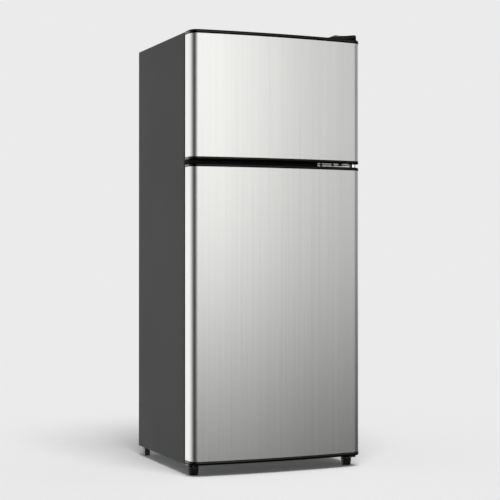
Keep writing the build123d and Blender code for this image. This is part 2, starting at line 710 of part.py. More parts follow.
finish(refrigerant_pipes, "refrigerant_pipes")

# ---------------------------------------------------------------------------------------------
# Wire-on-tube condenser
# ---------------------------------------------------------------------------------------------

with BuildPart() as condenser_tube:
    with BuildLine() as serpentine:
        for run in range(condenser_runs):
            z, way = condenser_bottom + run * condenser_pitch, 1 if run % 2 == 0 else -1
            Line((-way * coil_half, y_coil, z), (way * coil_half, y_coil, z))
            if run < condenser_runs - 1:
                ThreePointArc((way * coil_half, y_coil, z), (way * (coil_half + bend), y_coil, z + bend),
                              (way * coil_half, y_coil, z + condenser_pitch))
    with BuildSketch(Plane((-coil_half, y_coil, condenser_bottom), z_dir=(1, 0, 0))):
        Circle(tube_radius)
    sweep(path=serpentine.line)
finish(condenser_tube, "condenser_tube")

wire_pitch = 2 * coil_half / (condenser_wire_count - 1)
with BuildPart() as condenser_wires:
    for face in (-1, 1):
        for index in range(condenser_wire_count):
            rod(-coil_half + index * wire_pitch, y_coil + face * (tube_radius + wire_radius),
                condenser_bottom - 12, wire_radius, coil_top - condenser_bottom + 24)
finish(condenser_wires, "condenser_wires")

with BuildPart() as condenser_brackets:
    for side in (-1, 1):
        for z in (condenser_bottom + condenser_pitch, coil_top - condenser_pitch):
            x = side * (coil_half - 1.5 * wire_pitch)
            block((x - 4, x + 4), (y_back, y_coil), (z - 7, z + 7))
            with Locations((x, y_coil, z)):
                Cylinder(y_rear - y_coil, 8, rotation=(0, 90, 0))
                Cylinder(tube_radius, 12, rotation=(0, 90, 0), mode=Mode.SUBTRACT)
finish(condenser_brackets, "condenser_brackets")

# ---------------------------------------------------------------------------------------------
# Fridge and freezer contents
# ---------------------------------------------------------------------------------------------

shelf_half = cavity_half - slide_clearance
y_shelf, y_shelf_back = y_front + shelf_front, cavity_back - slide_clearance
for name, z in (("lower_shelf", z_lower_shelf), ("upper_shelf", z_upper_shelf),
                ("crisper_lid", z_crisper_lid)):
    with BuildPart() as shelf:
        block(both(shelf_half), (y_shelf, y_shelf_back), (z, z + shelf_glass))
        fillet(shelf.edges().filter_by(Axis.Z), 4)
    finish(shelf, name)

trim_height, trim_depth = 12.0, 14.0
with BuildPart() as shelf_trims:
    for z in (z_lower_shelf, z_upper_shelf, z_crisper_lid):
        block(both(cavity_half - ledge_width - slide_clearance), (y_shelf - 2.5, y_shelf + trim_depth),
              (z - trim_height + shelf_glass + 2, z + shelf_glass + 2))
        block(both(shelf_half), (y_shelf, y_shelf_back), (z, z + shelf_glass), Mode.SUBTRACT)
        block(both(cavity_half), (y_shelf + 1, y_shelf + trim_depth), (z - trim_height, z - 1.5),
              Mode.SUBTRACT)
finish(shelf_trims, "shelf_trims")

wire_spots = 15
with BuildPart() as freezer_shelf:
    z = z_freezer_shelf + shelf_frame_radius
    for y in (y_shelf + 4, (y_shelf + y_shelf_back) / 2, y_shelf_back - 6):
        with Locations((0, y, z)):
            Cylinder(shelf_frame_radius, 2 * shelf_half, rotation=(0, 90, 0))
    span = shelf_half - 12
    weld = 0.6                                             # wires sink this far into the frame
    for index in range(wire_spots):
        x = -span + index * 2 * span / (wire_spots - 1)
        with Locations((x, (y_shelf + y_shelf_back) / 2, z + shelf_frame_radius + shelf_wire_radius - weld)):
            Cylinder(shelf_wire_radius, y_shelf_back - y_shelf - 2, rotation=(90, 0, 0))
finish(freezer_shelf, "freezer_shelf")

drawer_half = cavity_half - ledge_width - slide_clearance
y_drawer, y_drawer_back = y_front + drawer_front_gap, step_front - slide_clearance
z_rim = z_crisper_lid - drawer_drop
with BuildPart() as crisper_drawer:
    block(both(drawer_half), (y_drawer, y_drawer_back), (fridge_floor + 0.3, z_rim))
    fillet(crisper_drawer.edges().filter_by(Axis.Z), 10)
    fillet(crisper_drawer.edges().group_by(Axis.Z)[0], 5)
    offset(amount=-drawer_wall, openings=crisper_drawer.faces().sort_by(Axis.Z)[-1])
    block(both(70), (y_drawer - 5, y_drawer + 1), (z_rim - 16, z_rim - 10))
finish(crisper_drawer, "crisper_drawer")

# Control box under the fridge ceiling: thermostat, lamp and door switch
y_control = y_front + control_front
z_control = fridge_ceiling - control_height
lamp_start = y_control + 62
x_knob, y_knob = -38.0, y_control + 32
x_plunger, z_plunger = 48.0, fridge_ceiling - 14
with BuildPart() as control_box:
    block(both(control_half), (y_control, y_control + control_length), (z_control, fridge_ceiling))
    fillet(control_box.edges().group_by(Axis.Z)[0], 4)
    block(both(control_half - 3), (y_control + 3, y_control + control_length - 3),
          (z_control + 3, fridge_ceiling), Mode.SUBTRACT)
    block(both(control_half - 12), (lamp_start, y_control + control_length - 8),
          (z_control - 1, z_control + 4), Mode.SUBTRACT)
    rod(x_knob, y_knob, z_control - 1, 3.5 + pin_clearance, 6, Mode.SUBTRACT)
    with Locations((x_plunger, y_control, z_plunger)):
        Cylinder(plunger_radius + pin_clearance, 12, rotation=(90, 0, 0), mode=Mode.SUBTRACT)
finish(control_box, "control_box")

with BuildPart() as lamp_lens:
    block(both(control_half - 12), (lamp_start, y_control + control_length - 8),
          (z_control - 6, z_control + 3))
    fillet(lamp_lens.edges().group_by(Axis.Z)[0], 4)
    block(both(control_half - 14), (lamp_start + 2, y_control + control_length - 10),
          (z_control - 4, z_control + 4), Mode.SUBTRACT)
finish(lamp_lens, "lamp_lens")

with BuildPart() as lamp_bulb:
    with BuildSketch(Plane.XZ) as bulb:
        with BuildLine():
            Polyline((0, -26), (0, 24), (6.5, 24), (6.5, 4), (7, 0))
            Spline((7, 0), (11, -13), (0, -26), tangents=((0.3, -1), (-1, 0)))
        make_face()
    revolve(axis=Axis.Z)
lamp_bulb.part.orientation = (0, -90, 0)
lamp_bulb.part.position = (4, lamp_start + 24, z_control + 16)
finish(lamp_bulb, "lamp_bulb")

with BuildPart() as thermostat_knob:
    rod(x_knob, y_knob, z_control - 11, knob_radius, 10.6)
    fillet(thermostat_knob.edges().group_by(Axis.Z)[0], 2)
    rod(x_knob, y_knob, z_control - 3, 3.5, 12)
    block((x_knob - 2.2, x_knob + 2.2), (y_knob - knob_radius + 1, y_knob + knob_radius - 1),
          (z_control - 15, z_control - 10))
finish(thermostat_knob, "thermostat_knob")

with BuildPart() as door_switch_plunger:
    tip = y_front + dyke_reach + plunger_tip_gap
    with Locations(Plane((x_plunger, tip, z_plunger), z_dir=(0, 1, 0))):
        Cylinder(plunger_radius, 22, align=(Align.CENTER, Align.CENTER, Align.MIN))
    fillet(door_switch_plunger.edges().group_by(Axis.Y)[0], 1.2)
finish(door_switch_plunger, "door_switch_plunger")
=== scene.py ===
"""Looks of a two-door top freezer refrigerator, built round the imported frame.

Every class below is one sub-assembly or one finish. Sizes are in metres, in the frame's axes: +Z up, and the
doors face -Y and are hinged on the +X side.
"""
import json
import logging
from dataclasses import dataclass, field
from enum import Enum
from typing import Any, Sequence

import bmesh
import bpy
import mathutils
import numpy as np
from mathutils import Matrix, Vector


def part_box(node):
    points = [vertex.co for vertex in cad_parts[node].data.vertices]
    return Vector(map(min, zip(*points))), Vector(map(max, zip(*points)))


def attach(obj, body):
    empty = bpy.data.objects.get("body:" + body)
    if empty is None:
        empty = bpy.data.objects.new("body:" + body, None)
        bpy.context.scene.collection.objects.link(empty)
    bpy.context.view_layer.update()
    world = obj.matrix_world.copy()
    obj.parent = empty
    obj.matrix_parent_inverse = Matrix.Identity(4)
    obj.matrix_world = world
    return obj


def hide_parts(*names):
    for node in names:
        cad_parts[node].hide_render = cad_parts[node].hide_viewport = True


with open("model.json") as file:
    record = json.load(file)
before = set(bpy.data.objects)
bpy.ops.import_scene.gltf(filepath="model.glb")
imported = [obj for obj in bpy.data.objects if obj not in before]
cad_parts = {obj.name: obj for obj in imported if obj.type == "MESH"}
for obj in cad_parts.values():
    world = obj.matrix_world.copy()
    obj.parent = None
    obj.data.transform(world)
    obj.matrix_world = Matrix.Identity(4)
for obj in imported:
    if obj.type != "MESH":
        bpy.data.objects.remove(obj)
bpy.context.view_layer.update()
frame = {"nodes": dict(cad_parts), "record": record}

LOG = logging.getLogger("refrigerator")
MM = 0.001
Array = np.ndarray


# ------------------------------------------------------------------------------------------------
# Colour and shader helpers
# ------------------------------------------------------------------------------------------------

def linear(hex_colour: str, alpha: float = 1.0) -> tuple[float, float, float, float]:
    """Turn an sRGB hex colour into linear light.

    Args:
        hex_colour: Six hex digits, such as "8a8b88".
        alpha: Opacity that goes with it.

    Returns:
        Linear red, green and blue, and the alpha.
    """
    srgb = np.array([int(hex_colour[i:i + 2], 16) for i in (0, 2, 4)]) / 255
    light = np.where(srgb <= 0.04045, srgb / 12.92, ((srgb + 0.055) / 1.055) ** 2.4)
    return (*(float(v) for v in light), alpha)


def add_node(tree: bpy.types.NodeTree, kind: str, inputs: dict[Any, Any] | None = None,
             outputs: dict[int, Sequence[bpy.types.NodeSocket]] | None = None,
             stops: Sequence[tuple[float, tuple[float, ...]]] = (), **settings: Any) -> bpy.types.Node:
    """Add one shader node with its settings, values and links.

    Args:
        tree: Node tree that gets the node.
        kind: Blender's name for the type of node.
        inputs: Input name or number to a plain value, or to the socket that feeds it.
        outputs: Output number to the sockets that it feeds.
        stops: Places from 0 to 1 and linear colours, where the node is a colour ramp.
        **settings: Attributes of the node itself.

    Returns:
        The new node.
    """
    node = tree.nodes.new(kind)
    for key, value in settings.items():
        setattr(node, key, value)
    for key, value in (inputs or {}).items():
        if isinstance(value, bpy.types.NodeSocket):
            tree.links.new(value, node.inputs[key])
        else:
            node.inputs[key].default_value = value
    for key, sockets in (outputs or {}).items():
        for socket in sockets:
            tree.links.new(node.outputs[key], socket)
    for number, (place, colour) in enumerate(stops):
        elements = node.color_ramp.elements
        element = elements[number] if number < len(elements) else elements.new(place)
        element.position, element.color = place, colour
    return node


@dataclass(frozen=True)
class Layer:
    """One scale of variation: noise whose grains have a real size, and what it changes on the surface.

    The middle of the noise, 0.3 to 0.7, is spread over the whole range of shades and of roughness.
    """

    size_mm: tuple[float, float, float]
    detail: float = 2.0
    fineness: float = 0.5
    shades: tuple[str, str] | None = None
    roughness: tuple[float, float] | None = None
    depth_mm: float = 0.0

    def value(self, tree: bpy.types.NodeTree, place: bpy.types.NodeSocket) -> bpy.types.NodeSocket:
        """Noise from 0 to 1 over the coordinates, stretched to the grain's size.

        Args:
            tree: The material's nodes.
            place: Coordinates in metres.

        Returns:
            The noise's socket.
        """
        scale = tuple(1 / (size * MM) for size in self.size_mm)
        scaled = add_node(tree, "ShaderNodeMapping", {"Vector": place, "Scale": scale}).outputs[0]
        return add_node(tree, "ShaderNodeTexNoise", {
            "Vector": scaled, "Scale": 1.0, "Detail": self.detail, "Roughness": self.fineness}).outputs[0]

    def drive(self, tree: bpy.types.NodeTree, shader: bpy.types.Node, value: bpy.types.NodeSocket) -> None:
        """Let a value from 0 to 1 change the colour, the roughness and the height.

        Args:
            tree: The material's nodes.
            shader: Its principled shader.
            value: What drives them.
        """
        if self.shades:
            stops = [(at, linear(shade)) for at, shade in zip((0.3, 0.7), self.shades)]
            add_node(tree, "ShaderNodeValToRGB", {"Fac": value}, {0: [shader.inputs["Base Color"]]}, stops)
        if self.roughness:
            low, high = self.roughness
            add_node(tree, "ShaderNodeMapRange", {
                "Value": value, "From Min": 0.3, "From Max": 0.7, "To Min": low, "To Max": high},
                {0: [shader.inputs["Roughness"]]})
        if self.depth_mm:
            depth = self.depth_mm * MM
            add_node(tree, "ShaderNodeBump", {"Height": value, "Strength": 1.0, "Distance": depth},
                     {0: [shader.inputs["Normal"]]})


@dataclass(frozen=True)
class Finish:
    """A real material and how its surface was made. Subclasses say what it gives the eye."""

    name: str
    colour: str
    roughness: float
    metallic: float = 0.0

    def material(self) -> bpy.types.Material:
        """Build the material once, and return the same one each time.

        Returns:
            The material.
        """
        found = bpy.data.materials.get(self.name)
        if found:
            return found
        material = bpy.data.materials.new(self.name)
        material.use_nodes = True
        tree = material.node_tree
        tree.nodes.clear()
        shader = add_node(tree, "ShaderNodeBsdfPrincipled", {
            "Base Color": linear(self.colour), "Roughness": self.roughness, "Metallic": self.metallic,
            **self.constants()})
        add_node(tree, "ShaderNodeOutputMaterial", {"Surface": shader.outputs["BSDF"]})
        self.pattern(tree, shader, add_node(tree, "ShaderNodeTexCoord").outputs["Object"])
        return material

    def constants(self) -> dict[str, float]:
        """Shader inputs that stay the same all over."""
        return {}

    def layers(self) -> tuple[Layer, ...]:
        """Scales of variation, from the finest to the broadest."""
        return ()

    def rough(self, less: float, more: float) -> tuple[float, float]:
        """Range of roughness round the finish's own."""
        return self.roughness - less, self.roughness + more

    def pattern(self, tree: bpy.types.NodeTree, shader: bpy.types.Node, place: bpy.types.NodeSocket) -> None:
        """Lay every layer on the shader.

        Args:
            tree: The material's nodes.
            shader: Its principled shader.
            place: Object coordinates, in metres.
        """
        for layer in self.layers():
            layer.drive(tree, shader, layer.value(tree, place))


@dataclass(frozen=True)
class BrushedStainless(Finish):
    """Cold-rolled stainless sheet, linished top to bottom: upright hairlines that pull highlights sideways.

    The real hairlines are 0.05 mm apart. They are drawn coarser, so that they show at all.
    """

    anisotropy: float = 0.55
    hairline_mm: float = 0.9
    streak_mm: float = 7.0
    length_mm: float = 420.0
    streak_share: float = 0.3

    def constants(self) -> dict[str, float]:
        """Highlights stretch across the hairlines."""
        return {"Anisotropic": self.anisotropy}

    def pattern(self, tree: bpy.types.NodeTree, shader: bpy.types.Node, place: bpy.types.NodeSocket) -> None:
        """Hairlines roughen and scratch the sheet; mixed with broad streaks, they shade it.

        Args:
            tree: The material's nodes.
            shader: Its principled shader.
            place: Object coordinates, in metres.
        """
        add_node(tree, "ShaderNodeTangent", outputs={0: [shader.inputs["Tangent"]]},
                 direction_type="UV_MAP", uv_map="UVMap")
        hairlines = Layer((self.hairline_mm, self.hairline_mm, self.length_mm), 4, 0.6,
                          roughness=self.rough(0.025, 0.03), depth_mm=0.004)
        streaks = Layer((self.streak_mm, self.streak_mm, 4 * self.length_mm), shades=("bebebc", "cececc"))
        fine = hairlines.value(tree, place)
        broad = streaks.value(tree, place)
        shade = add_node(tree, "ShaderNodeMix", {"Factor": self.streak_share, 2: fine, 3: broad},
                         data_type="FLOAT").outputs[0]
        hairlines.drive(tree, shader, fine)
        streaks.drive(tree, shader, shade)


@dataclass(frozen=True)
class GlossMoulding(Finish):
    """Injection-moulded ABS from a polished tool: deep gloss, slight flow waves and a few fine scuffs."""

    wave_mm: float = 0.006
    sheen: float = 0.2

    def constants(self) -> dict[str, float]:
        """ABS, with a mirror image weaker than glass gives."""
        return {"IOR": 1.52, "Specular IOR Level": self.sheen}

    def layers(self) -> tuple[Layer, ...]:
        """Scuffs only roughen the gloss; flow waves are 12 mm across."""
        return (Layer((0.6, 18.0, 0.6), 5, 0.65, roughness=self.rough(0, 0.08)),
                Layer((12.0, 12.0, 12.0), depth_mm=self.wave_mm))


@dataclass(frozen=True)
class CoatedSheet(Finish):
    """Steel sheet with a baked satin paint: fine orange peel, and paint a shade lighter where it pools."""

    peel_mm: float = 2.2
    shade: str = "4b4b4b"
    sheen: float = 0.5

    def constants(self) -> dict[str, float]:
        """How much the paint mirrors."""
        return {"Specular IOR Level": self.sheen}

    def layers(self) -> tuple[Layer, ...]:
        """Orange peel is about 2 mm across; the shade drifts slowly over some 300 mm."""
        return (Layer((self.peel_mm,) * 3, roughness=self.rough(0.04, 0.04), depth_mm=0.009),
                Layer((300.0,) * 3, shades=(self.shade, self.colour)))


@dataclass(frozen=True)
class Galvanised(Finish):
    """Hot-dipped galvanised sheet: flat grey crystals, some brighter than others."""

    spangle_mm: float = 5.0
    shade: str = "9a9ea0"

    def pattern(self, tree: bpy.types.NodeTree, shader: bpy.types.Node, place: bpy.types.NodeSocket) -> None:
        """Spangles are cells about 5 mm across, each with its own shade and gloss.

        Args:
            tree: The material's nodes.
            shader: Its principled shader.
            place: Object coordinates, in metres.
        """
        scale = 1 / (self.spangle_mm * MM)
        cells = add_node(tree, "ShaderNodeTexVoronoi", {"Vector": place, "Scale": scale})
        grey = add_node(tree, "ShaderNodeRGBToBW", {0: cells.outputs["Color"]}).outputs[0]
        spangle = Layer((self.spangle_mm,) * 3, shades=(self.shade, self.colour),
                        roughness=self.rough(0.04, 0.06))
        spangle.drive(tree, shader, grey)


@dataclass(frozen=True)
class FormedPlastic(Finish):
    """Polystyrene or nylon with a soft satin skin: fine texture, and a little light carried under it."""

    shade: str = "d9dbd8"
    glow: float = 0.05

    def constants(self) -> dict[str, float]:
        """Light goes some 4 mm into the plastic."""
        return {"IOR": 1.5, "Subsurface Weight": self.glow, "Subsurface Scale": 4 * MM}

    def layers(self) -> tuple[Layer, ...]:
        """The grain is a half-millimetre texture; the shade drifts a little over a hand's width."""
        return (Layer((0.5,) * 3, 3, roughness=self.rough(0.05, 0.06), depth_mm=0.01),
                Layer((90.0,) * 3, shades=(self.shade, self.colour)))


@dataclass(frozen=True)
class PlatedSteel(Finish):
    """Pressed steel under a bright plating: mirror-like, with faint pressing marks and cloudy patches."""

    shade: str = "8f8f8c"

    def layers(self) -> tuple[Layer, ...]:
        """Pressing marks are 1.4 mm ripples, clouds some 15 mm across."""
        return (Layer((1.4,) * 3, 3, depth_mm=0.012),
                Layer((15.0,) * 3, 3, shades=(self.shade, self.colour), roughness=self.rough(0, 0.12)))


@dataclass(frozen=True)
class ClearMoulding(Finish):
    """Clear glass or moulded styrene: nearly unseen face on, denser and glossier towards its edges."""

    ior: float = 1.5
    face_on: float = 0.2
    edge_on: float = 0.85

    def constants(self) -> dict[str, float]:
        """Glass is near 1.5, styrene a little higher."""
        return {"IOR": self.ior}

    def layers(self) -> tuple[Layer, ...]:
        """Fine scuffs roughen it; flow waves 20 mm across bend what is mirrored."""
        return (Layer((1.2, 25.0, 1.2), 4, 0.6, roughness=self.rough(0, 0.06)),
                Layer((20.0,) * 3, depth_mm=0.01))

    def pattern(self, tree: bpy.types.NodeTree, shader: bpy.types.Node, place: bpy.types.NodeSocket) -> None:
        """Opacity grows as the surface turns away, on top of the layers.

        Args:
            tree: The material's nodes.
            shader: Its principled shader.
            place: Object coordinates, in metres.
        """
        turned = add_node(tree, "ShaderNodeLayerWeight", {"Blend": 0.4}).outputs["Facing"]
        add_node(tree, "ShaderNodeMapRange", {
            "Value": turned, "To Min": self.face_on, "To Max": self.edge_on}, {0: [shader.inputs["Alpha"]]})
        super().pattern(tree, shader, place)


@dataclass(frozen=True)
class CellFoam(Finish):
    """Rigid polyurethane foam: yellow, matt, with open cells of a millimetre or two."""

    cell_mm: float = 1.5

    def pattern(self, tree: bpy.types.NodeTree, shader: bpy.types.Node, place: bpy.types.NodeSocket) -> None:
        """Cells are pits, deepest in the middle.

        Args:
            tree: The material's nodes.
            shader: Its principled shader.
            place: Object coordinates, in metres.
        """
        cells = add_node(tree, "ShaderNodeTexVoronoi", {"Vector": place, "Scale": 1 / (self.cell_mm * MM)})
        Layer((self.cell_mm,) * 3, depth_mm=0.4).drive(tree, shader, cells.outputs["Distance"])


FINISHES: dict[str, Finish] = {
    "cabinet_paint": CoatedSheet("Baked_grey_paint", "4f4f4f", 0.5, shade="4a4a4a", sheen=0.03),
    "galvanised_sheet": Galvanised("Galvanised_sheet", "a9adaf", 0.5, metallic=0.6),
    "brushed_stainless": BrushedStainless("Brushed_stainless", "c6c6c4", 0.30, metallic=1.0),
    "gloss_black": GlossMoulding("Gloss_black_ABS", "070708", 0.09),
    "foot_black": FormedPlastic("Black_nylon_foot", "161616", 0.38, shade="101010", glow=0.0),
    "white_liner": FormedPlastic("Vacuum_formed_polystyrene", "eceeec", 0.32, shade="e4e6e4"),
    "insulation": CellFoam("Polyurethane_foam", "d8b65a", 0.9),
    "gasket": FormedPlastic("Soft_PVC_gasket", "2a2b2c", 0.5, shade="222324", glow=0.0),
    "nylon": FormedPlastic("White_nylon", "e6e5df", 0.4, shade="dddcd4"),
    "hinge_chrome": PlatedSteel("Bright_chrome_plate", "e6e6e4", 0.05, metallic=1.0, shade="d2d2d0"),
    "black_enamel": CoatedSheet("Black_stove_enamel", "101010", 0.3, peel_mm=1.6, shade="0b0b0b"),
    "zinc_steel": PlatedSteel("Zinc_plated_steel", "b4b5ae", 0.3, metallic=1.0, shade="97988f"),
    "copper": PlatedSteel("Drawn_copper_tube", "b5795a", 0.34, metallic=1.0, shade="8f5a41"),
    "grommet_rubber": FormedPlastic("Moulded_rubber", "1b1b1b", 0.7, shade="141414", glow=0.0),
    "evaporator_alu": PlatedSteel("Mill_aluminium", "c9cacb", 0.35, metallic=1.0, shade="b4b5b6"),
    "shelf_glass": ClearMoulding("Toughened_glass", "dcefe8", 0.03, ior=1.5, face_on=0.16, edge_on=0.8),
    "white_wire": FormedPlastic("White_dipped_wire", "eeeeec", 0.3, shade="e6e6e3"),
    "clear_bin": ClearMoulding("Clear_styrene", "e6f0f3", 0.06, ior=1.56, face_on=0.26),
    "crisper_clear": ClearMoulding("Clear_blue_styrene", "d3e7f0", 0.08, ior=1.56, face_on=0.4),
    "lamp_lens": ClearMoulding("Frosted_lens", "f4f4ee", 0.35, ior=1.5, face_on=0.6),
    "bulb_glass": ClearMoulding("Bulb_glass", "fbf6e6", 0.1, ior=1.45, face_on=0.5),
    "box_black": FormedPlastic("Black_moulded_box", "1c1c1d", 0.45, shade="151516", glow=0.0),
    "drip_tray": FormedPlastic("Black_tray", "202022", 0.4, shade="18181a", glow=0.0),
}


# ------------------------------------------------------------------------------------------------
# Mesh helpers: every new piece is a grid of points worked out as whole arrays
# ------------------------------------------------------------------------------------------------

class Plane(Enum):
    """Where a flat outline (a, b) and its level go in space, as places in (x, y, z)."""

    FLOOR = (0, 1, 2)
    FRONT = (0, 2, 1)
    SIDE = (1, 2, 0)

    def lift(self, outline: Array, level: Array | float) -> Array:
        """Put an outline of a and b at its level.

        Args:
            outline: Rows of a and b.
            level: One level, or one for each row.

        Returns:
            Rows of x, y and z.
        """
        points = np.empty((len(outline), 3))
        first, second, height = self.value
        points[:, first], points[:, second], points[:, height] = outline[:, 0], outline[:, 1], level
        return points


@dataclass(frozen=True)
class Outline:
    """Rounded rectangle: four arcs about the corners' centres, joined by straight sides.

    low and high are opposite corners; radii belong to the corners (+,+), (-,+), (-,-) and (+,-).
    """

    low: tuple[float, float]
    high: tuple[float, float]
    radii: tuple[float, float, float, float]
    arc_points: int = 9

    def ring(self, inset: float = 0.0, radius_inset: float | None = None) -> Array:
        """Shrink the outline by an inset; its radii shrink by the same, or by radius_inset.

        Args:
            inset: Distance inwards from the true outline.
            radius_inset: What the radii lose, or None for the inset.

        Returns:
            Rows of a and b, the same number for every inset.
        """
        less = inset if radius_inset is None else radius_inset
        radii = np.maximum(np.array(self.radii) - less, 0.3 * MM)[:, None]
        centre = (np.array(self.high) + self.low) / 2
        half = (np.array(self.high) - self.low) / 2 - inset
        turn = np.arange(4)[:, None] * np.pi / 2 + np.linspace(0, np.pi / 2, self.arc_points)
        ways = np.array([[1, 1], [-1, 1], [-1, -1], [1, -1]])[:, None, :]
        corners = ways * (half - radii)[:, None, :]
        arcs = radii[:, :, None] * np.stack([np.cos(turn), np.sin(turn)], -1)
        return (centre + corners + arcs).reshape(-1, 2)


@dataclass
class Shape:
    """Points and faces gathered from several grids, which become one mesh."""

    points: list[Array] = field(default_factory=list)
    faces: list[tuple[int, ...]] = field(default_factory=list)
    uv: list[Array] = field(default_factory=list)
    count: int = 0

    def grid(self, rows: Sequence[Array], wrap_rows: bool = False, wrap_columns: bool = True,
             caps: tuple[bool, bool] = (True, True), uv: Array | None = None) -> "Shape":
        """Add a surface that runs from row to row.

        Args:
            rows: One array of points for each row, all of the same length.
            wrap_rows: Join the last row to the first.
            wrap_columns: Join each row's last point to its first.
            caps: Close the first row and the last row with a flat face.
            uv: One row of u and v for each point, or None.

        Returns:
            This shape.
        """
        stack = np.stack(rows)
        height, width = stack.shape[:2]
        r = np.arange(height if wrap_rows else height - 1)[:, None]
        c = np.arange(width if wrap_columns else width - 1)[None, :]
        r1, c1 = (r + 1) % height, (c + 1) % width
        quads = np.stack([r * width + c, r * width + c1, r1 * width + c1, r1 * width + c], -1).reshape(-1, 4)
        self.faces += map(tuple, (quads + self.count).tolist())
        if caps[0]:
            self.faces.append(tuple(range(self.count + width - 1, self.count - 1, -1)))
        if caps[1]:
            self.faces.append(tuple(range(self.count + (height - 1) * width, self.count + height * width)))
        self.points.append(stack.reshape(-1, 3))
        if uv is not None:
            self.uv.append(uv)
        self.count += height * width
        return self

    def stack(self, outline: Outline, levels: Sequence[tuple[float, float]], plane: Plane = Plane.FLOOR,
              closed: bool = True, wrap: bool = False) -> "Shape":
        """Add an outline at growing levels, each shrunk by its inset.

        Args:
            outline: The outline to repeat.
            levels: Pairs of inset and level.
            plane: The plane that the outline lies in.
            closed: Cap the first and last.
            wrap: Join the last to the first, as in a ring with a closed section.

        Returns:
            This shape.
        """
        rows = [plane.lift(outline.ring(inset), level) for inset, level in levels]
        return self.grid(rows, wrap_rows=wrap, caps=(closed and not wrap, closed and not wrap))

    def extrude(self, section: Array, start: float, end: float, plane: Plane) -> "Shape":
        """Carry a closed section straight from one level to another."""
        return self.grid([plane.lift(section, start), plane.lift(section, end)])

    def lathe(self, profile: Array, centre: Sequence[float], plane: Plane = Plane.FLOOR, segments: int = 48,
              flutes: int = 0, flute_depth: float = 0.0) -> "Shape":
        """Turn a profile of radius and height round an axis.

        The radius may be fluted: it loses flute_depth times half of one minus the cosine of flutes times the
        angle, except where the profile is narrower than three flute depths.

        Args:
            profile: Rows of radius and height.
            centre: Point that the height is measured from.
            plane: Plane square to the axis.
            segments: Points round the axis.
            flutes: Number of flutes.
            flute_depth: Their depth.

        Returns:
            This shape.
        """
        angle = np.linspace(0, 2 * np.pi, segments, endpoint=False)
        wave = flute_depth * 0.5 * (1 - np.cos(flutes * angle)) if flutes else np.zeros(segments)
        rows = []
        for radius, height in profile:
            around = radius - wave * (radius > 3 * flute_depth)
            outline = np.stack([around * np.cos(angle), around * np.sin(angle)], 1)
            rows.append(plane.lift(outline, height) + np.array(centre))
        return self.grid(rows)

    def make(self, name: str, slot: str, body: str, replaced: Sequence[str] = (), sheet: float = 0.0,
             crease: float = 32.0, bevel: float = 0.0, flip: bool = False) -> bpy.types.Object:
        """Turn the gathered surfaces into one object that rides on a body.

        Args:
            name: Name of the piece.
            slot: Material slot of the record, which is also the key of its finish.
            body: Body that it rides on.
            replaced: CAD nodes that it stands for.
            sheet: Thickness that an open surface gets behind it, or 0 for a closed one.
            crease: Angle in degrees above which an edge stays sharp.
            bevel: Width of a bevel on its sharp edges, or 0.
            flip: Turn an open surface's faces round.

        Returns:
            The object.
        """
        mesh = bpy.data.meshes.new(name)
        faces = [face[::-1] for face in self.faces] if flip else self.faces
        mesh.from_pydata(np.concatenate(self.points).tolist(), [], faces)
        if self.uv:
            layer = mesh.uv_layers.new(name="UVMap")
            corners = np.empty(len(mesh.loops), np.int32)
            mesh.loops.foreach_get("vertex_index", corners)
            layer.data.foreach_set("uv", np.concatenate(self.uv).astype(np.float32)[corners].ravel())
        if not sheet:
            closed = bmesh.new()
            closed.from_mesh(mesh)
            bmesh.ops.remove_doubles(closed, verts=closed.verts, dist=0.002 * MM)
            bmesh.ops.recalc_face_normals(closed, faces=closed.faces)
            closed.to_mesh(mesh)
            closed.free()
        mesh.validate()
        mesh.shade_smooth()
        mesh.set_sharp_from_angle(angle=np.radians(crease))
        piece = bpy.data.objects.new(name, mesh)
        bpy.context.scene.collection.objects.link(piece)
        mesh.materials.append(FINISHES[slot].material())
        if sheet:
            wall = piece.modifiers.new("wall", "SOLIDIFY")
            wall.thickness, wall.offset, wall.use_even_offset = sheet, -1.0, True
        if bevel:
            edge = piece.modifiers.new("edge", "BEVEL")
            edge.width, edge.segments = bevel, 3
            edge.limit_method, edge.angle_limit = "ANGLE", np.radians(50)
            edge.use_clamp_overlap, edge.harden_normals = True, True
        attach(piece, body)
        if replaced:
            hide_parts(*replaced)
        LOG.info("%s rides on %s, %d faces", name, body, len(mesh.polygons))
        return piece


def box_of(node: str) -> tuple[Array, Array]:
    """Lowest and highest corner of a CAD node, as arrays."""
    low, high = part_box(node)
    return np.array(low), np.array(high)


def arc(centre: tuple[float, float], radius: float, start: float, end: float, points: int = 7) -> Array:
    """Arc of a circle, with its ends given in degrees."""
    turn = np.radians(np.linspace(start, end, points))
    return np.array(centre) + radius * np.stack([np.cos(turn), np.sin(turn)], 1)


# ------------------------------------------------------------------------------------------------
# Doors
# ------------------------------------------------------------------------------------------------

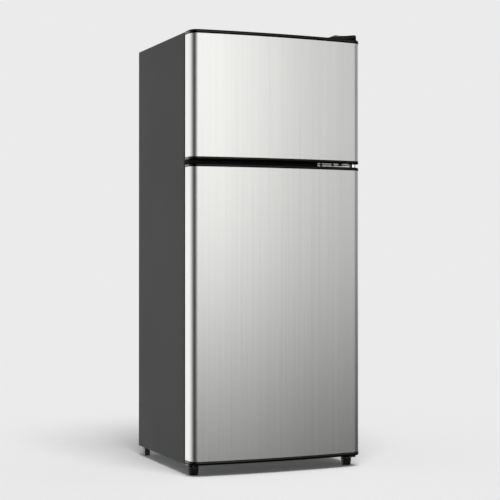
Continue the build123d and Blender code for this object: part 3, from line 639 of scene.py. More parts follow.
@dataclass(frozen=True)
class DoorPlan:
    """Outline of a door seen from above: straight sides, round front corners and a bowed front.

    The bowed front is an arc through both front ends and the crown. Each front corner is an arc that touches
    the side and the bowed front. An outline shrunk by an inset keeps the same centres with smaller radii.
    """

    half: float
    crown_y: float
    back_y: float
    crown: float = 13.5 * MM
    corner: float = 22.0 * MM
    back_corner: float = 2.0 * MM
    corner_points: int = 28
    front_points: int = 97

    def front(self, inset: float) -> tuple[Array, Array]:
        """Right side, corner, bow, corner and left side as one open line.

        Args:
            inset: Distance inwards from the true outline.

        Returns:
            Points as rows of x and y, and the length along the line at each.
        """
        bow = (self.half ** 2 + self.crown ** 2) / (2 * self.crown)
        bow_y = self.crown_y + bow
        corner_y = bow_y - np.sqrt((bow - self.corner) ** 2 - (self.half - self.corner) ** 2)
        swing = np.arcsin((self.half - self.corner) / (bow - self.corner))
        turn = np.linspace(0, np.pi / 2 - swing, self.corner_points)
        radius = self.corner - inset
        corner_x = self.half - self.corner
        corner = np.stack([corner_x + radius * np.cos(turn), corner_y - radius * np.sin(turn)], 1)
        sweep = np.linspace(swing, -swing, self.front_points)[1:-1]
        bowed = np.stack([(bow - inset) * np.sin(sweep), bow_y - (bow - inset) * np.cos(sweep)], 1)
        side_y = np.linspace(self.back_y - inset, corner_y, 5)[:-1]
        side = np.stack([np.full_like(side_y, self.half - inset), side_y], 1)
        mirror = np.array([-1.0, 1.0])
        line = np.concatenate([side, corner, bowed, corner[::-1] * mirror, side[::-1] * mirror])
        steps = np.linalg.norm(np.diff(line, axis=0), axis=1)
        return line, np.concatenate([[0.0], np.cumsum(steps)])

    def loop(self, inset: float) -> Array:
        """The whole outline as a closed line, with small corners at the back.

        Args:
            inset: Distance inwards from the true outline.

        Returns:
            Points as rows of x and y, the same number for every inset.
        """
        line, _ = self.front(inset)
        radius = max(self.back_corner - inset, 0.4 * MM)
        centre = (self.half - inset - radius, self.back_y - inset - radius)
        corner = arc(centre, radius, 90, 0)
        mirror = np.array([-1.0, 1.0])
        rear = np.stack([np.linspace(-1, 1, 9)[1:-1] * centre[0], np.full(7, self.back_y - inset)], 1)
        return np.concatenate([line[1:-1], corner[::-1] * mirror, rear, corner])


@dataclass
class Door:
    """One door: brushed skin, moulded caps, formed liner and magnetic gasket."""

    name: str
    cavity: tuple[float, float]
    sheet: float = 0.8 * MM
    fold: float = 10.0 * MM
    proud: float = 1.0 * MM
    cap_round: float = 4.2 * MM
    groove: float = 0.7 * MM
    dyke_clearance: float = 12.0 * MM
    dyke_width: float = 22.0 * MM
    dyke_round: float = 3.5 * MM
    dyke_draft: float = 0.2 * MM
    panel_sheet: float = 1.2 * MM
    pocket_gap: float = 1.5 * MM

    def __post_init__(self) -> None:
        """Read the door's place from its CAD skin and caps."""
        low, high = box_of(f"{self.name}_skin")
        self.low, self.high, self.half = low[2], high[2], high[0]
        self.crown_y = low[1]
        self.skin_back = high[1]
        self.back = box_of(f"{self.name}_top_cap")[1][1]

    def skin(self) -> None:
        """Sheet bent round the front and sides and folded in at the back.

        The section is the front line, then the fold at each end, then the same line inset by the sheet's
        thickness; it is carried straight up. u runs along the section and v up it, in metres.
        """
        plan = DoorPlan(self.half, self.crown_y, self.skin_back)
        outer, length = plan.front(0.0)
        inner, _ = plan.front(self.sheet)
        flap = np.array([[self.half - self.fold, self.skin_back]])
        mirror = np.array([-1.0, 1.0])
        flap_in = flap - [[0, self.sheet]]
        section = np.concatenate([flap, outer, flap * mirror, flap_in * mirror, inner[::-1], flap_in])
        along = np.concatenate([[-self.fold], length, [length[-1] + self.fold]])
        along = np.concatenate([along, along[::-1]])
        levels = np.linspace(self.low, self.high, 13)
        uv = np.concatenate([np.column_stack([along, np.full(len(section), z)]) for z in levels])
        shape = Shape().grid([Plane.FLOOR.lift(section, z) for z in levels], caps=(False, False), uv=uv)
        width = len(section)
        first = np.arange(width // 2 - 1)
        rim = np.stack([first, width - 1 - first, width - 2 - first, first + 1], 1)
        shape.faces += map(tuple, rim.tolist())
        shape.faces += map(tuple, (rim[:, ::-1] + (len(levels) - 1) * width).tolist())
        shape.make(f"{self.name}_sheet", "brushed_stainless", self.name, [f"{self.name}_skin"])

    def cap(self, node: str, outside: int) -> None:
        """Moulded cap: the door's loop at growing insets, over a round edge and a groove to a flat middle.

        Args:
            node: CAD node that the cap stands for.
            outside: +1 for a cap whose closed side faces up, -1 where it faces down.
        """
        low, high = box_of(node)
        start, end = (self.high, high[2]) if outside > 0 else (self.low, low[2])
        height = abs(end - start)
        plan = DoorPlan(self.half, self.crown_y, self.back - self.proud)
        edge = arc((-self.proud + self.cap_round, height - self.cap_round), self.cap_round, 180, 90, 9)
        lead = 0.5 * MM
        levels = np.concatenate([
            [[2.5 * MM, 0], [0.1 * MM, 0], [lead - self.proud, 0], [-self.proud, lead]], edge,
            [[3.4 * MM, height], [3.9 * MM, height - self.groove], [5.6 * MM, height - self.groove],
             [6.1 * MM, height], [12 * MM, height]]])
        rows = [Plane.FLOOR.lift(plan.loop(inset), start + outside * up) for inset, up in levels]
        Shape().grid(rows).make(f"{node}_moulding", "gloss_black", self.name, [node], crease=50)

    def liner(self) -> None:
        """Vacuum-formed panel: a rounded rectangle at growing insets, over the raised edge into the pocket.

        Each bend between walls is an arc in the plane of inset and depth.
        """
        low, high = box_of(f"{self.name}_liner")
        foot_y, face, pocket = self.back, high[1], low[1] + self.pocket_gap
        half = box_of("evaporator")[1][0] + 18 * MM
        ends = self.cavity[0] + self.dyke_clearance, self.cavity[1] - self.dyke_clearance
        outline = Outline((-half, ends[0]), (half, ends[1]), (10 * MM,) * 4)
        bend, small = self.dyke_round, 1.5 * MM
        flange = Outline((low[0], low[2]), (high[0], high[2]), (3 * MM,) * 4)
        section = np.concatenate([
            [[-14 * MM, foot_y]], arc((-4 * MM, foot_y + 4 * MM), 4 * MM, -90, 0, 5),
            arc((bend + self.dyke_draft, face - bend), bend, 180, 90, 6),
            arc((self.dyke_width - bend, face - bend), bend, 90, 0, 6),
            arc((self.dyke_width + 0.8 * MM + small, pocket + small), small, 180, 270, 4)])
        rows = [Plane.FRONT.lift(flange.ring(), foot_y)]
        rows += [Plane.FRONT.lift(outline.ring(inset, min(inset, 6 * MM)), y) for inset, y in section]
        Shape().grid(rows, caps=(False, True)).make(
            f"{self.name}_inner_panel", "white_liner", self.name, [f"{self.name}_liner"],
            sheet=self.panel_sheet, flip=True)

    def gasket(self) -> None:
        """Extruded seal, mitred into a frame: a closed section carried round a rounded rectangle."""
        low, high = box_of(f"{self.name}_gasket")
        base, face = low[1], high[1]
        outline = Outline((low[0], low[2]), (high[0], high[2]), (14 * MM,) * 4, arc_points=7)
        half = np.array([[0.0, 0.0], [0.0, 1.5], [0.5, 2.0], [2.0, 2.1], [2.9, 2.9], [2.0, 3.7], [2.3, 5.2],
                         [3.0, 6.2], [4.2, 6.7]]) * MM
        span = face - base
        half[:, 1] *= span / (6.7 * MM)
        other = half[::-1] * [-1, 1] + [13 * MM, 0]
        section = np.concatenate([half, other]) + [0, base]
        Shape().stack(outline, section, Plane.FRONT, wrap=True).make(
            f"{self.name}_seal", "gasket", self.name, [f"{self.name}_gasket"], crease=60)

    def build(self) -> None:
        """Make every part of the door."""
        self.skin()
        self.cap(f"{self.name}_top_cap", 1)
        self.cap(f"{self.name}_bottom_cap", -1)
        self.liner()
        self.gasket()


# ------------------------------------------------------------------------------------------------
# Open moulded trays: door bins, crisper and drip tray
# ------------------------------------------------------------------------------------------------

@dataclass(frozen=True)
class Tray:
    """Open moulding with a rolled rim: one outline up the outside, over the rim and down the inside."""

    node: str
    slot: str
    body: str
    front_radius: float
    back_radius: float
    wall: float = 2.0 * MM
    bead: float = 2.2 * MM
    front_skip: float = 0.0

    def build(self) -> None:
        """Carry the outline over the tray's section, a closed wall from the outer floor to the inner one."""
        low, high = box_of(self.node)
        radii = (self.front_radius, self.front_radius, self.back_radius, self.back_radius)
        outline = Outline((low[0], low[1] + self.front_skip), (high[0], high[1]), radii)
        bottom, rim, wall, bead = low[2], high[2], self.wall, self.bead
        outside = [(6 * MM, bottom), (3.6 * MM, bottom + 0.3 * MM), (2.4 * MM, bottom + 1.2 * MM),
                   (bead * 0.9, bottom + 3 * MM), (bead * 0.6, rim - 8 * MM), (bead * 0.45, rim - 5.5 * MM)]
        lip = arc((0.0, 0.0), 1.0, 190, 0, 9) * [bead * 0.75, 1.6 * MM] + [bead * 0.75, rim - 1.6 * MM]
        inside = [(bead * 0.6 + wall, rim - 6 * MM), (bead * 0.9 + wall, bottom + wall + 4 * MM),
                  (bead + wall + 1.4 * MM, bottom + wall + 1 * MM), (bead + wall + 5 * MM, bottom + wall)]
        levels = outside + [tuple(p) for p in lip] + inside
        Shape().stack(outline, levels).make(
            f"{self.node}_moulding", self.slot, self.body, [self.node], crease=50)


# ------------------------------------------------------------------------------------------------
# Cabinet
# ------------------------------------------------------------------------------------------------

@dataclass
class Interior:
    """Formed liners of both cavities, their ledges, and the shelves that rest on them."""

    cavities: dict[str, tuple[float, float]]
    corner: float = 10.0 * MM
    roll: float = 5.0 * MM
    back_round: float = 5.0 * MM
    ledge: tuple[float, float] = (6.0 * MM, 5.0 * MM)
    step_draft: float = 3.0 * MM
    niche_wall: float = 30.0 * MM
    sheet: float = 1.2 * MM
    shelf_clearance: float = 1.5 * MM

    def __post_init__(self) -> None:
        """Read the cavities' walls from the shelves that fit between them."""
        low, high = box_of("upper_shelf")
        self.half = high[0] + self.shelf_clearance
        self.back = high[1] + self.shelf_clearance
        self.front = box_of("fridge_liner")[0][1]
        self.shelf_front = low[1]

    def rows(self, flange: tuple[Array, Array], floor: float, ceiling: float,
             path: Sequence[tuple[float, float, float]]) -> list[Array]:
        """Rows of a tub: the flange's edge, then a rounded rectangle for each step of the path.

        Args:
            flange: Lowest and highest corner of the liner's flange.
            floor: Height of the tub's floor at its mouth.
            ceiling: Height of its ceiling.
            path: Inset from the walls, depth, and rise of the floor.

        Returns:
            The rows, from the flange to the back wall.
        """
        low, high = flange
        edge = Outline((low[0], low[2]), (high[0], high[2]), (2 * MM,) * 4)
        rows = [Plane.FRONT.lift(edge.ring(), self.front)]
        for inset, depth, rise in path:
            wall = Outline((-self.half, floor + rise), (self.half, ceiling), (self.corner,) * 4)
            rows.append(Plane.FRONT.lift(wall.ring(inset, min(inset, self.corner * 0.6)), depth))
        return rows

    def liner(self, node: str, step: tuple[float, float] | None) -> None:
        """Vacuum-formed tub with a rolled mouth and round corners at the back.

        Args:
            node: CAD node that it stands for.
            step: Depth and rise of the step over the compressor, or None.
        """
        floor, ceiling = self.cavities[node]
        mouth = arc((-self.roll, self.front + self.roll), self.roll, -90, 0)
        path = [(inset, depth, 0.0) for inset, depth in mouth]
        rise = 0.0
        if step:
            depth, rise = step
            bend = 6 * MM
            riser = np.concatenate([arc((depth - self.step_draft - bend, bend), bend, -90, 0, 5),
                                    arc((depth + bend, rise - bend), bend, 180, 90, 5)])
            path += [(0.0, y, up) for y, up in riser]
        path += [(inset, depth, rise) for inset, depth in arc(
            (self.back_round, self.back - self.back_round), self.back_round, 180, 90, 6)]
        Shape().grid(self.rows(box_of(node), floor, ceiling, path), caps=(False, True)).make(
            f"{node}_tub", "white_liner", "cabinet", [node], sheet=self.sheet)

    def ledges(self) -> None:
        """Moulded rails under each shelf: rounded bars along both walls."""
        shape = Shape()
        width, height = self.ledge
        for node in ("lower_shelf", "upper_shelf", "crisper_lid", "freezer_shelf"):
            top = box_of(node)[0][2]
            for side in (-1, 1):
                a, b = sorted((side * (self.half + 0.6 * MM), side * (self.half - width)))
                outline = Outline((a, top - height), (b, top), (1.8 * MM,) * 4, arc_points=5)
                start, end = self.shelf_front, self.back - 1 * MM
                shape.stack(outline, [(1.5 * MM, start), (0.5 * MM, start + 0.4 * MM), (0, start + 1.6 * MM),
                                      (0, end)], Plane.FRONT)
        shape.make("shelf_ledges", "white_liner", "cabinet")

    def shelves(self) -> None:
        """Toughened glass with ground edges, and the moulded trim along its front."""
        trims = Shape()
        section = np.array([
            (14, 4), (14, 5.2), (13.2, 6), (-0.4, 6), (-1.7, 5.3), (-2.4, 3.8), (-2.5, -4.2), (-2.0, -5.5),
            (-0.9, -6), (0.4, -6), (1, -5.4), (1, -1.5), (13.4, -1.5), (14, -0.9), (14, 0), (0, 0),
            (0, 4)]) * MM
        reach = box_of("shelf_trims")[1][0]
        ground = np.array([(0.9, 0), (0.25, 0.25), (0, 0.9)]) * MM
        for node in ("lower_shelf", "upper_shelf", "crisper_lid"):
            low, high = box_of(node)
            pane = Outline((low[0], low[1]), (high[0], high[1]), (4 * MM,) * 4)
            edges = np.concatenate([ground + [0, low[2]], ground[::-1] * [1, -1] + [0, high[2]]])
            Shape().stack(pane, edges).make(f"{node}_pane", "shelf_glass", "cabinet", [node])
            trims.extrude(section + [low[1], low[2]], -reach, reach, Plane.SIDE)
        trims.make("shelf_edge_trims", "nylon", "cabinet", ["shelf_trims"], bevel=0.4 * MM)

    def build(self) -> None:
        """Make both liners, the ledges and the shelves."""
        niche = box_of("niche_panel")
        step_y = niche[0][1] + 1 * MM - self.niche_wall
        floor = self.cavities["fridge_liner"][0]
        step_z = niche[1][2] + self.niche_wall - floor
        self.liner("freezer_liner", None)
        self.liner("fridge_liner", (step_y, step_z))
        self.ledges()
        self.shelves()
        bins = {"freezer_door": ("bin",), "fridge_door": ("bottle_bin", "middle_bin", "upper_bin")}
        for door, names in bins.items():
            for name in names:
                Tray(f"{door}_{name}", "clear_bin", door, 14 * MM, 2 * MM).build()


@dataclass
class HingeCover:
    """Moulded cover over the top hinge: swept up from the left, then a lower flat block with round ends."""

    node: str = "top_hinge_cover"
    edge: float = 3.6 * MM
    corner: float = 9.0 * MM
    step: float = 35.0 * MM
    toe: float = 1.5 * MM
    dip: float = 3.0 * MM
    fall: float = 3.0 * MM
    sweep: float = 1.05
    door_clearance: float = 0.8 * MM
    skirt_inset: float = 3.0 * MM

    def __post_init__(self) -> None:
        """Read the cover's place, and its lower edge from the door below it."""
        self.low, self.high = box_of(self.node)
        self.base = box_of("freezer_door_top_cap")[1][2] + self.door_clearance

    def height(self, x: Array) -> Array:
        """Height of the lid: the start of a sine from toe to step, then down by the dip over the fall.

        Args:
            x: Places across the cover.

        Returns:
            Height at each.
        """
        swept = np.clip((x - self.low[0]) / self.step, 0, 1)
        after = np.clip((x - self.low[0] - self.step) / self.fall, 0, 1)
        rise = self.high[2] - self.base - self.toe
        climbed = rise * np.sin(swept * self.sweep) / np.sin(self.sweep)
        return self.base + self.toe + climbed - self.dip * after ** 2 * (3 - 2 * after)

    def build(self) -> None:
        """Carry a rounded rectangle up the wall, over the edge and in across the lid at its height."""
        front = (self.corner, 3 * MM, 3 * MM, self.corner)
        outline = Outline((self.low[0], self.low[1]), (self.high[0], self.high[1]), front, arc_points=9)
        sides = [outline.ring(inset) for inset in (3 * MM, 0.4 * MM, 0.0)]
        rows = [Plane.FLOOR.lift(sides[0], self.base), Plane.FLOOR.lift(sides[1], self.base),
                Plane.FLOOR.lift(sides[2], self.base + 0.4 * MM)]
        half_width = (self.high[0] - self.low[0]) / 2
        insets = np.concatenate([self.edge * (1 - np.cos(np.linspace(0, np.pi / 2, 9))),
                                 np.linspace(self.edge, half_width - 1 * MM, 14)[1:]])
        for inset in insets:
            ring = outline.ring(inset)
            drop = self.edge - np.sqrt(max(self.edge ** 2 - max(self.edge - inset, 0) ** 2, 0))
            top = self.height(ring[:, 0])
            rows.append(Plane.FLOOR.lift(ring, np.maximum(top - drop, self.base + 0.4 * MM + 0.02 * inset)))
        skirt = Outline((self.low[0] + self.skirt_inset, box_of("outer_shell")[0][1] + 2 * self.skirt_inset),
                        tuple(self.high[:2] - self.skirt_inset), (4 * MM,) * 4)
        Shape().grid(rows).stack(skirt, [(0, self.low[2]), (0, self.base + 0.5 * MM)]).make(
            "hinge_cover_moulding", "gloss_black", "cabinet", [self.node], crease=45)


@dataclass
class Feet:
    """Levelling feet: tapered, fluted for grip, each with a recessed sole."""

    flutes: int = 18
    flute_depth: float = 0.5 * MM

    def build(self) -> None:
        """Turn one profile for each foot."""
        for name in ("left_foot", "right_foot"):
            low, high = box_of(name)
            centre = ((low[0] + high[0]) / 2, (low[1] + high[1]) / 2, 0.0)
            top, radius = high[2], (high[0] - low[0]) / 2
            profile = np.concatenate([
                [[2 * MM, 1 * MM], [8.2 * MM, 1 * MM], [8.8 * MM, 0]],
                arc((radius - 4.2 * MM, 1.8 * MM), 1.8 * MM, -90, -5, 5),
                [[radius - 1.9 * MM, 5 * MM], [radius - 0.5 * MM, top - 5.5 * MM],
                 [radius - 1.3 * MM, top - 4.9 * MM], [radius - 1.3 * MM, top - 4.1 * MM],
                 [radius, top - 3.4 * MM]],
                arc((radius - 1.6 * MM, top - 1.6 * MM), 1.6 * MM, 0, 90, 5),
                [[6.5 * MM, top], [6 * MM, top - 0.8 * MM], [4.1 * MM, top - 0.8 * MM]]])
            shape = Shape().lathe(profile, centre, segments=144, flutes=self.flutes,
                                  flute_depth=self.flute_depth)
            shape.make(f"{name}_moulding", "foot_black", name, [name], crease=40)


@dataclass
class Fasteners:
    """Pan-head screws with a crossed recess, whose shade is painted as a dark cross: two in the middle
    hinge, two on the roof, three underneath.
    """

    radius: float = 4.6 * MM
    flange_radius: float = 3.7 * MM
    height: float = 2.2 * MM
    slot_half: float = 0.8 * MM
    slot_share: float = 0.62
    flange_lift: float = 7.9 * MM
    flange_insets: tuple[float, float] = (88 * MM, 55 * MM)
    roof_inset: float = 16 * MM
    roof_rows: tuple[float, float] = (24 * MM, 46 * MM)
    foot_row: float = 28 * MM
    foot_step: float = 24 * MM

    def head(self, heads: Shape, slots: Shape, centre: Sequence[float], plane: Plane, way: int,
             radius: float) -> None:
        """Add one screw head, a low dome over a short wall, and a dark cross at its top that paints the
        shade of the recess.

        Args:
            heads: Shape that gathers the heads.
            slots: Shape that gathers the dark crosses, the painted shade of the recesses.
            centre: Middle of the seat.
            plane: Plane of the seat.
            way: +1 or -1 along the plane's axis, away from the seat.
            radius: Radius of the head.
        """
        wall = 0.3 * MM
        turn = np.radians([10, 25, 42, 60, 75, 88])
        dome = np.stack([radius * np.cos(turn), wall + (self.height - 0.5 * MM) * np.sin(turn)], 1)
        profile = np.concatenate([[[radius * 0.95, 0], [radius, wall]], dome]) * [1, way]
        heads.lathe(profile, centre, plane, segments=32)
        top = centre[plane.value[2]] + way * (self.height - 0.35 * MM)
        middle = np.array([centre[plane.value[0]], centre[plane.value[1]]])
        arm = np.array([radius * self.slot_share, self.slot_half])
        # each arm of the cross is a thin dark block: painted shade where the recess is
        for reach in (arm[::-1], arm):
            outline = Outline(tuple(middle - reach), tuple(middle + reach), (0.3 * MM,) * 4, arc_points=3)
            slots.stack(outline, [(0, top), (0.1 * MM, top + way * 0.22 * MM)], plane)

    def build(self) -> None:
        """Make the heads on the middle hinge, on the roof bracket and under the foot brackets."""
        heads, slots = Shape(), Shape()
        shell_low, shell_high = box_of("outer_shell")
        front, side = shell_low[1], shell_high[0]
        plate_right, _, plate_top = box_of("top_hinge_bracket")[1]
        bracket_low = box_of("left_foot_bracket")[0][2]
        nodes_low, nodes_high = box_of("hinge_screws")
        flange_y, foot_x = nodes_low[1] + self.height, nodes_high[0] - self.radius
        flange_z = box_of("fridge_door_top_cap")[1][2] + self.flange_lift
        for inset in self.flange_insets:
            self.head(heads, slots, (side - inset, flange_y, flange_z), Plane.FRONT, -1, self.flange_radius)
        for row in self.roof_rows:
            seat = (plate_right - self.roof_inset, front + row, plate_top)
            self.head(heads, slots, seat, Plane.FLOOR, 1, self.radius)
        for x in (foot_x - self.foot_step, foot_x, -foot_x):
            self.head(heads, slots, (x, front + self.foot_row, bracket_low), Plane.FLOOR, -1, self.radius)
        heads.make("screw_heads", "zinc_steel", "cabinet", ["hinge_screws"], crease=50)
        # dark crosses in black plastic: painted shade of the screws' recesses
        slots.make("screw_recess_painted_shade", "box_black", "cabinet")


@dataclass
class Controls:
    """Thermostat dial under the control box, with its scale of marks."""

    flutes: int = 24
    marks: int = 8

    def build(self) -> None:
        """Turn the dial, ridge it, and set marks round it on the box."""
        low, high = box_of("thermostat_knob")
        box_low = box_of("control_box")[0][2]
        lens = box_of("lamp_lens")
        x, y = (low[0] + high[0]) / 2, (low[1] + high[1]) / 2
        radius, face = (high[0] - low[0]) / 2, low[2] + 4 * MM
        profile = np.concatenate([
            [[1 * MM, face + 0.6 * MM], [radius - 5 * MM, face + 0.6 * MM], [radius - 4 * MM, face]],
            arc((radius - 2 * MM, face + 2 * MM), 2 * MM, -90, 0, 6),
            [[radius, box_low - 0.8 * MM], [radius - 1 * MM, box_low - 0.4 * MM],
             [3.4 * MM, box_low - 0.4 * MM], [3.4 * MM, high[2]]]])
        reach = np.array([2.2 * MM, radius - 1 * MM])
        ridge = Outline(tuple([x, y] - reach), tuple([x, y] + reach), (2.1 * MM,) * 4)
        Shape().lathe(profile, (x, y, 0), segments=192, flutes=self.flutes, flute_depth=0.5 * MM).stack(
            ridge, [(0.9 * MM, low[2]), (0.3 * MM, low[2] + 0.3 * MM), (0, low[2] + 1 * MM),
                    (0, face + 1.2 * MM)]).make(
            "thermostat_dial", "white_liner", "thermostat_knob", ["thermostat_knob"], crease=45)
        scale = Shape()
        turns = np.radians(np.linspace(-60, 240, self.marks))
        for turn, length in zip(turns, np.linspace(2.4, 5.2, self.marks) * MM):
            way = np.array([np.cos(turn), np.sin(turn)])
            across = np.array([-way[1], way[0]]) * 0.5 * MM
            near, far = way * (radius + 2.2 * MM), way * (radius + 2.2 * MM + length)
            corners = np.array([near - across, far - across, far + across, near + across]) + [x, y]
            scale.extrude(corners, box_low - 0.15 * MM, box_low + 0.3 * MM, Plane.FLOOR)
        scale.make("dial_marks", "box_black", "cabinet")
        ribs = Shape()
        for place in np.linspace(lens[0][0] + 6 * MM, lens[1][0] - 6 * MM, 21):
            rib = Outline((place - 1.2 * MM, lens[0][1] + 5 * MM), (place + 1.2 * MM, lens[1][1] - 5 * MM),
                          (1.1 * MM,) * 4, arc_points=4)
            ribs.stack(rib, np.array([(0.5, -0.5), (0, -0.1), (0, 0.5)]) * MM + [0, lens[0][2]])
        ribs.make("lens_ribs", "lamp_lens", "cabinet")


@dataclass
class Machinery:
    """Compressor can with its welded seam, its pressed feet, and the panel behind the cabinet."""

    can: float = 59.0 * MM
    foot_sheet: float = 3.0 * MM

    def compressor(self) -> None:
        """Turn the can and add two pressed feet with upturned edges."""
        low, high = box_of("compressor")
        x, y, bottom, top = (low[0] + high[0]) / 2, (low[1] + high[1]) / 2, low[2], high[2]
        can = self.can
        seam = bottom + 60 * MM
        profile = np.concatenate([
            [[4 * MM, bottom + 8 * MM]], arc((can - 22 * MM, bottom + 30 * MM), 22 * MM, -90, 0, 9),
            [[can, seam - 3 * MM], [can + 3.6 * MM, seam - 2.4 * MM]],
            arc((can + 3.4 * MM, seam), 1.7 * MM, -60, 60, 5),
            [[can + 3.6 * MM, seam + 2.4 * MM], [can, seam + 3 * MM]],
            arc((can - 34 * MM, top - 34 * MM), 34 * MM, 0, 84, 12),
            [[8 * MM, top - 0.2 * MM], [2 * MM, top - 0.2 * MM]]])
        shape = Shape().lathe(profile, (x, y, 0), segments=96)
        for dx, dy, size in ((-0.62, 0.35, 5.0), (0.3, -0.62, 6.0)):
            shape.lathe(np.array([[size, -30], [size, 2], [size - 1.2, 3.2], [1, 3.2]]) * MM,
                        (x + dx * can * 0.8, y + dy * can * 0.8, top - 4 * MM), segments=32)
        for middle in (y - 40 * MM, y + 40 * MM):
            foot = Outline((low[0], middle - 10 * MM), (high[0], middle + 10 * MM), (8 * MM,) * 4)
            shape.stack(foot, [(0.8 * MM, bottom), (0, bottom + 0.8 * MM), (0, bottom + 2.2 * MM),
                               (0.8 * MM, bottom + self.foot_sheet), (2.6 * MM, bottom + self.foot_sheet)])
        shape.stack(Outline((x - 24 * MM, y - 48 * MM), (x + 24 * MM, y + 48 * MM), (6 * MM,) * 4),
                    [(0, bottom + 0.5 * MM), (0, bottom + 9 * MM)])
        shape.make("compressor_can", "black_enamel", "cabinet", ["compressor"], crease=38)

    def back_panel(self) -> None:
        """Sheet with pressed stiffening beads.

        Depth is a bead height times a smooth hump of the distance to the nearest bead line: one frame round
        the edge and two uprights.
        """
        low, high = box_of("back_panel")
        frame_inset, upright = 30 * MM, 70 * MM
        near = np.linspace(-9, 9, 13) * MM
        uprights = (low[0] + frame_inset, -upright, upright, high[0] - frame_inset)
        levels = (low[2] + frame_inset, high[2] - frame_inset)
        even_x, even_z = np.linspace(low[0], high[0], 40), np.linspace(low[2], high[2], 40)
        columns = np.unique(np.concatenate([even_x, *(near + line for line in uprights)]))
        rows = np.unique(np.concatenate([even_z, *(near + line for line in levels)]))
        x, z = np.meshgrid(columns, rows)
        past_x = (np.abs(x) > uprights[-1]).astype(float)
        past_z = ((z < levels[0]) | (z > levels[1])).astype(float)
        gaps = [np.abs(np.abs(x) - uprights[-1]) + past_z, np.abs(np.abs(x) - upright) + past_z,
                np.abs(z - levels[0]) + past_x, np.abs(z - levels[1]) + past_x]
        hump = np.clip(1 - np.minimum.reduce(gaps) / (8 * MM), 0, 1)
        y = high[1] + 1.8 * MM * hump ** 2 * (3 - 2 * hump)
        grid = [np.stack([x[r], y[r], z[r]], 1) for r in range(len(rows))]
        Shape().grid(grid, wrap_columns=False, caps=(False, False)).make(
            "back_panel_sheet", "galvanised_sheet", "cabinet", ["back_panel"], sheet=0.8 * MM, flip=True)

    def build(self) -> None:
        """Make the rear parts."""
        self.compressor()
        self.back_panel()
        Tray("drip_tray", "drip_tray", "cabinet", 12 * MM, 12 * MM).build()
        drawer = "crisper_drawer"
        Tray(drawer, "crisper_clear", drawer, 10 * MM, 10 * MM, front_skip=5 * MM).build()
        low, high = box_of(drawer)
        root = low[1] + 6.5 * MM
        grip = np.concatenate([[[root, 0]], arc((low[1] + 2.2 * MM, -4 * MM), 2.2 * MM, 90, 270, 7),
                               [[root, -4 * MM]]]) + [0, high[2] - 11 * MM]
        Shape().extrude(grip, -70 * MM, 70 * MM, Plane.SIDE).make(
            "crisper_grip", "crisper_clear", drawer, bevel=0.4 * MM)


# ------------------------------------------------------------------------------------------------
# Studio
# ------------------------------------------------------------------------------------------------

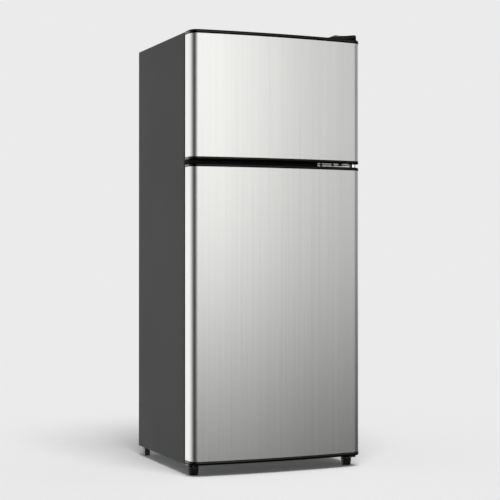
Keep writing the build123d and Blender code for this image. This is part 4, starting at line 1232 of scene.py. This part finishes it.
@dataclass
class Studio:
    """Pale floor, even soft light, and reflector cards that the steel mirrors."""

    backdrop: str = "ebebeb"
    floor_half: float = 30.0
    floor_white: float = 0.96
    floor_glow: float = 0.07
    dome_share: float = 0.26
    sun_angle: float = 32.0
    sun_way: tuple[float, float, float] = (0.05, 0.45, -1.0)
    cards: float = 2.1
    camera_place: tuple[float, float, float] = (-1.352, -3.228, 0.5354)
    camera_turn: float = 22.887
    camera_tilt: float = 0.253
    lens: float = 96.17
    # Cards that only glossy surfaces see: pairs of compass direction and brightness, 0 degrees in front
    # of the doors and growing towards their hinges; then pairs of height (sine of the climb) and share.
    front_cards: tuple[tuple[float, float], ...] = (
        (-180, 0.0), (-40, 0.0), (-22, 0.6), (-5, 1.05), (14, 0.98), (24, 0.62), (33, 0.44), (40, 0.66),
        (52, 0.3), (73, 0.1), (95, 0.35), (125, 0.4), (150, 0.2), (180, 0.08))
    side_cards: tuple[tuple[float, float], ...] = (
        (-180, 0.3), (-168, 0.78), (-120, 0.8), (-88, 0.34), (-66, 0.0), (180, 0.0))
    heights: tuple[tuple[float, float], ...] = (
        (-0.5, 0.01), (-0.2, 0.02), (-0.08, 0.42), (0.01, 1.0), (0.06, 0.94), (0.12, 1.0), (0.2, 0.93),
        (0.3, 0.9), (0.5, 0.3))
    side_heights: tuple[tuple[float, float], ...] = (
        (-0.5, 0.0), (-0.3, 0.1), (-0.22, 1.0), (0.24, 1.0), (0.34, 0.1), (0.5, 0.0))

    def camera(self) -> None:
        """Level camera, to the left of the doors and turned towards them."""
        data = bpy.data.cameras.new("camera")
        data.lens, data.sensor_width, data.clip_end = self.lens, 36.0, 200.0
        camera = bpy.data.objects.new("camera", data)
        camera.location = self.camera_place
        camera.rotation_euler = (np.radians(90 + self.camera_tilt), 0, np.radians(-self.camera_turn))
        bpy.context.scene.collection.objects.link(camera)
        bpy.context.scene.camera = camera

    def floor(self) -> None:
        """Seamless pale floor that the steel does not mirror."""
        points = np.array([[-1, -1, 0], [1, -1, 0], [1, 1, 0], [-1, 1, 0]]) * self.floor_half
        mesh = bpy.data.meshes.new("floor")
        mesh.from_pydata(points.tolist(), [], [(0, 1, 2, 3)])
        material = bpy.data.materials.new("Studio_paper")
        material.use_nodes = True
        tree = material.node_tree
        tree.nodes.clear()
        white = self.floor_white * (1 - self.floor_glow)
        paper = add_node(tree, "ShaderNodeBsdfDiffuse", {"Color": (white, white, white, 1.0)})
        glow = add_node(tree, "ShaderNodeEmission", {
            "Color": linear(self.backdrop), "Strength": self.floor_glow})
        both = add_node(tree, "ShaderNodeAddShader", {0: paper.outputs[0], 1: glow.outputs[0]})
        add_node(tree, "ShaderNodeOutputMaterial", {"Surface": both.outputs[0]})
        mesh.materials.append(material)
        floor = bpy.data.objects.new("floor", mesh)
        floor.visible_glossy = False
        bpy.context.scene.collection.objects.link(floor)

    def sun(self) -> None:
        """Broad soft light from above the front right; with the dome it lights the floor to the backdrop."""
        data = bpy.data.lights.new("soft_key", "SUN")
        data.angle = np.radians(self.sun_angle)
        way = mathutils.Vector(self.sun_way).normalized()
        share = (1 - self.dome_share) * linear(self.backdrop)[0]
        data.energy = share * np.pi / (self.floor_white * -way.z)
        light = bpy.data.objects.new("soft_key", data)
        light.rotation_euler = way.to_track_quat("-Z", "Y").to_euler()
        light.visible_glossy = False
        bpy.context.scene.collection.objects.link(light)

    def compass_card(self, tree: bpy.types.NodeTree, place: bpy.types.NodeSocket,
                     stops: Sequence[tuple[float, float]], low: float, high: float) -> bpy.types.NodeSocket:
        """Brightness that follows stops along one measure of direction.

        Args:
            tree: The world's nodes.
            place: The measure, already mapped to run from 0 to 1.
            stops: Pairs of measure and brightness.
            low: Measure that maps to 0.
            high: Measure that maps to 1.

        Returns:
            The brightness as a colour.
        """
        greys = [((at - low) / (high - low), (value, value, value, 1.0)) for at, value in stops]
        ramp = add_node(tree, "ShaderNodeValToRGB", {"Fac": place}, stops=greys)
        ramp.color_ramp.interpolation = "EASE"
        return ramp.outputs[0]

    def world(self) -> None:
        """Even paper-white light for matt surfaces, and cards all round for the glossy ones.

        Front and side cards are each a brightness by compass direction times one by height.
        """
        world = bpy.data.worlds.new("studio")
        bpy.context.scene.world = world
        world.use_nodes = True
        world.cycles.sampling_method = "NONE"
        tree = world.node_tree
        tree.nodes.clear()
        way = add_node(tree, "ShaderNodeTexCoord").outputs["Generated"]
        axes = add_node(tree, "ShaderNodeSeparateXYZ", {0: way})
        ahead = add_node(tree, "ShaderNodeMath", {0: axes.outputs["Y"], 1: -1.0}, operation="MULTIPLY")
        angle = add_node(tree, "ShaderNodeMath", {0: axes.outputs["X"], 1: ahead.outputs[0]},
                         operation="ARCTAN2")
        compass = add_node(tree, "ShaderNodeMapRange", {
            "Value": angle.outputs[0], "From Min": -np.pi, "From Max": np.pi}).outputs[0]
        low, high = self.heights[0][0], self.heights[-1][0]
        climb = add_node(tree, "ShaderNodeMapRange", {
            "Value": axes.outputs["Z"], "From Min": low, "From Max": high}).outputs[0]
        front = self.compass_card(tree, compass, self.front_cards, -180, 180)
        side = self.compass_card(tree, compass, self.side_cards, -180, 180)
        side_height = self.compass_card(tree, climb, self.side_heights, low, high)
        height = self.compass_card(tree, climb, self.heights, low, high)
        shaded = add_node(tree, "ShaderNodeMix", {"Factor": 1.0, 6: front, 7: height},
                          data_type="RGBA", blend_type="MULTIPLY").outputs[2]
        sided = add_node(tree, "ShaderNodeMix", {"Factor": 1.0, 6: side, 7: side_height},
                         data_type="RGBA", blend_type="MULTIPLY").outputs[2]
        cards = add_node(tree, "ShaderNodeMix", {"Factor": 1.0, 6: shaded, 7: sided},
                         data_type="RGBA", blend_type="ADD").outputs[2]
        path = add_node(tree, "ShaderNodeLightPath")
        dome = self.dome_share / self.floor_white
        plain = add_node(tree, "ShaderNodeBackground", {"Color": linear(self.backdrop), "Strength": dome})
        seen = add_node(tree, "ShaderNodeBackground", {"Color": linear(self.backdrop), "Strength": 1.0})
        studio = add_node(tree, "ShaderNodeBackground", {"Color": cards, "Strength": self.cards})
        lit = add_node(tree, "ShaderNodeMixShader", {
            0: path.outputs["Is Camera Ray"], 1: plain.outputs[0], 2: seen.outputs[0]})
        mixed = add_node(tree, "ShaderNodeMixShader", {
            0: path.outputs["Is Glossy Ray"], 1: lit.outputs[0], 2: studio.outputs[0]})
        add_node(tree, "ShaderNodeOutputWorld", {"Surface": mixed.outputs[0]})

    def build(self) -> None:
        """Set the stage."""
        self.camera()
        self.floor()
        self.sun()
        self.world()
        bpy.context.scene.view_settings.view_transform = "Standard"


def dress_frame() -> None:
    """Give every carried-over CAD node the finish of its slot."""
    slots = {entry["node"]: entry["material_slot"] for entry in frame["record"]["subparts"]}
    for name, node in frame["nodes"].items():
        material = FINISHES[slots[name]].material()
        if not node.material_slots:
            node.data.materials.append(material)
        for place in node.material_slots:
            place.material = material
        LOG.info("%s wears %s", name, material.name)


def main() -> None:
    """Build every sub-assembly in order."""
    logging.basicConfig(level=logging.INFO, format="%(name)s: %(message)s")
    Studio().build()
    dress_frame()
    bin_lift, plate_sink = 38 * MM, 1.5 * MM
    freezer = (box_of("freezer_door_bin")[0][2] - bin_lift, box_of("evaporator")[1][2] - plate_sink)
    fridge = (box_of("fridge_door_bottle_bin")[0][2] - bin_lift, box_of("control_box")[1][2])
    Door("freezer_door", freezer).build()
    Door("fridge_door", fridge).build()
    Interior({"freezer_liner": freezer, "fridge_liner": fridge}).build()
    HingeCover().build()
    Feet().build()
    Fasteners().build()
    Controls().build()
    Machinery().build()


if __name__ == "__main__":
    main()
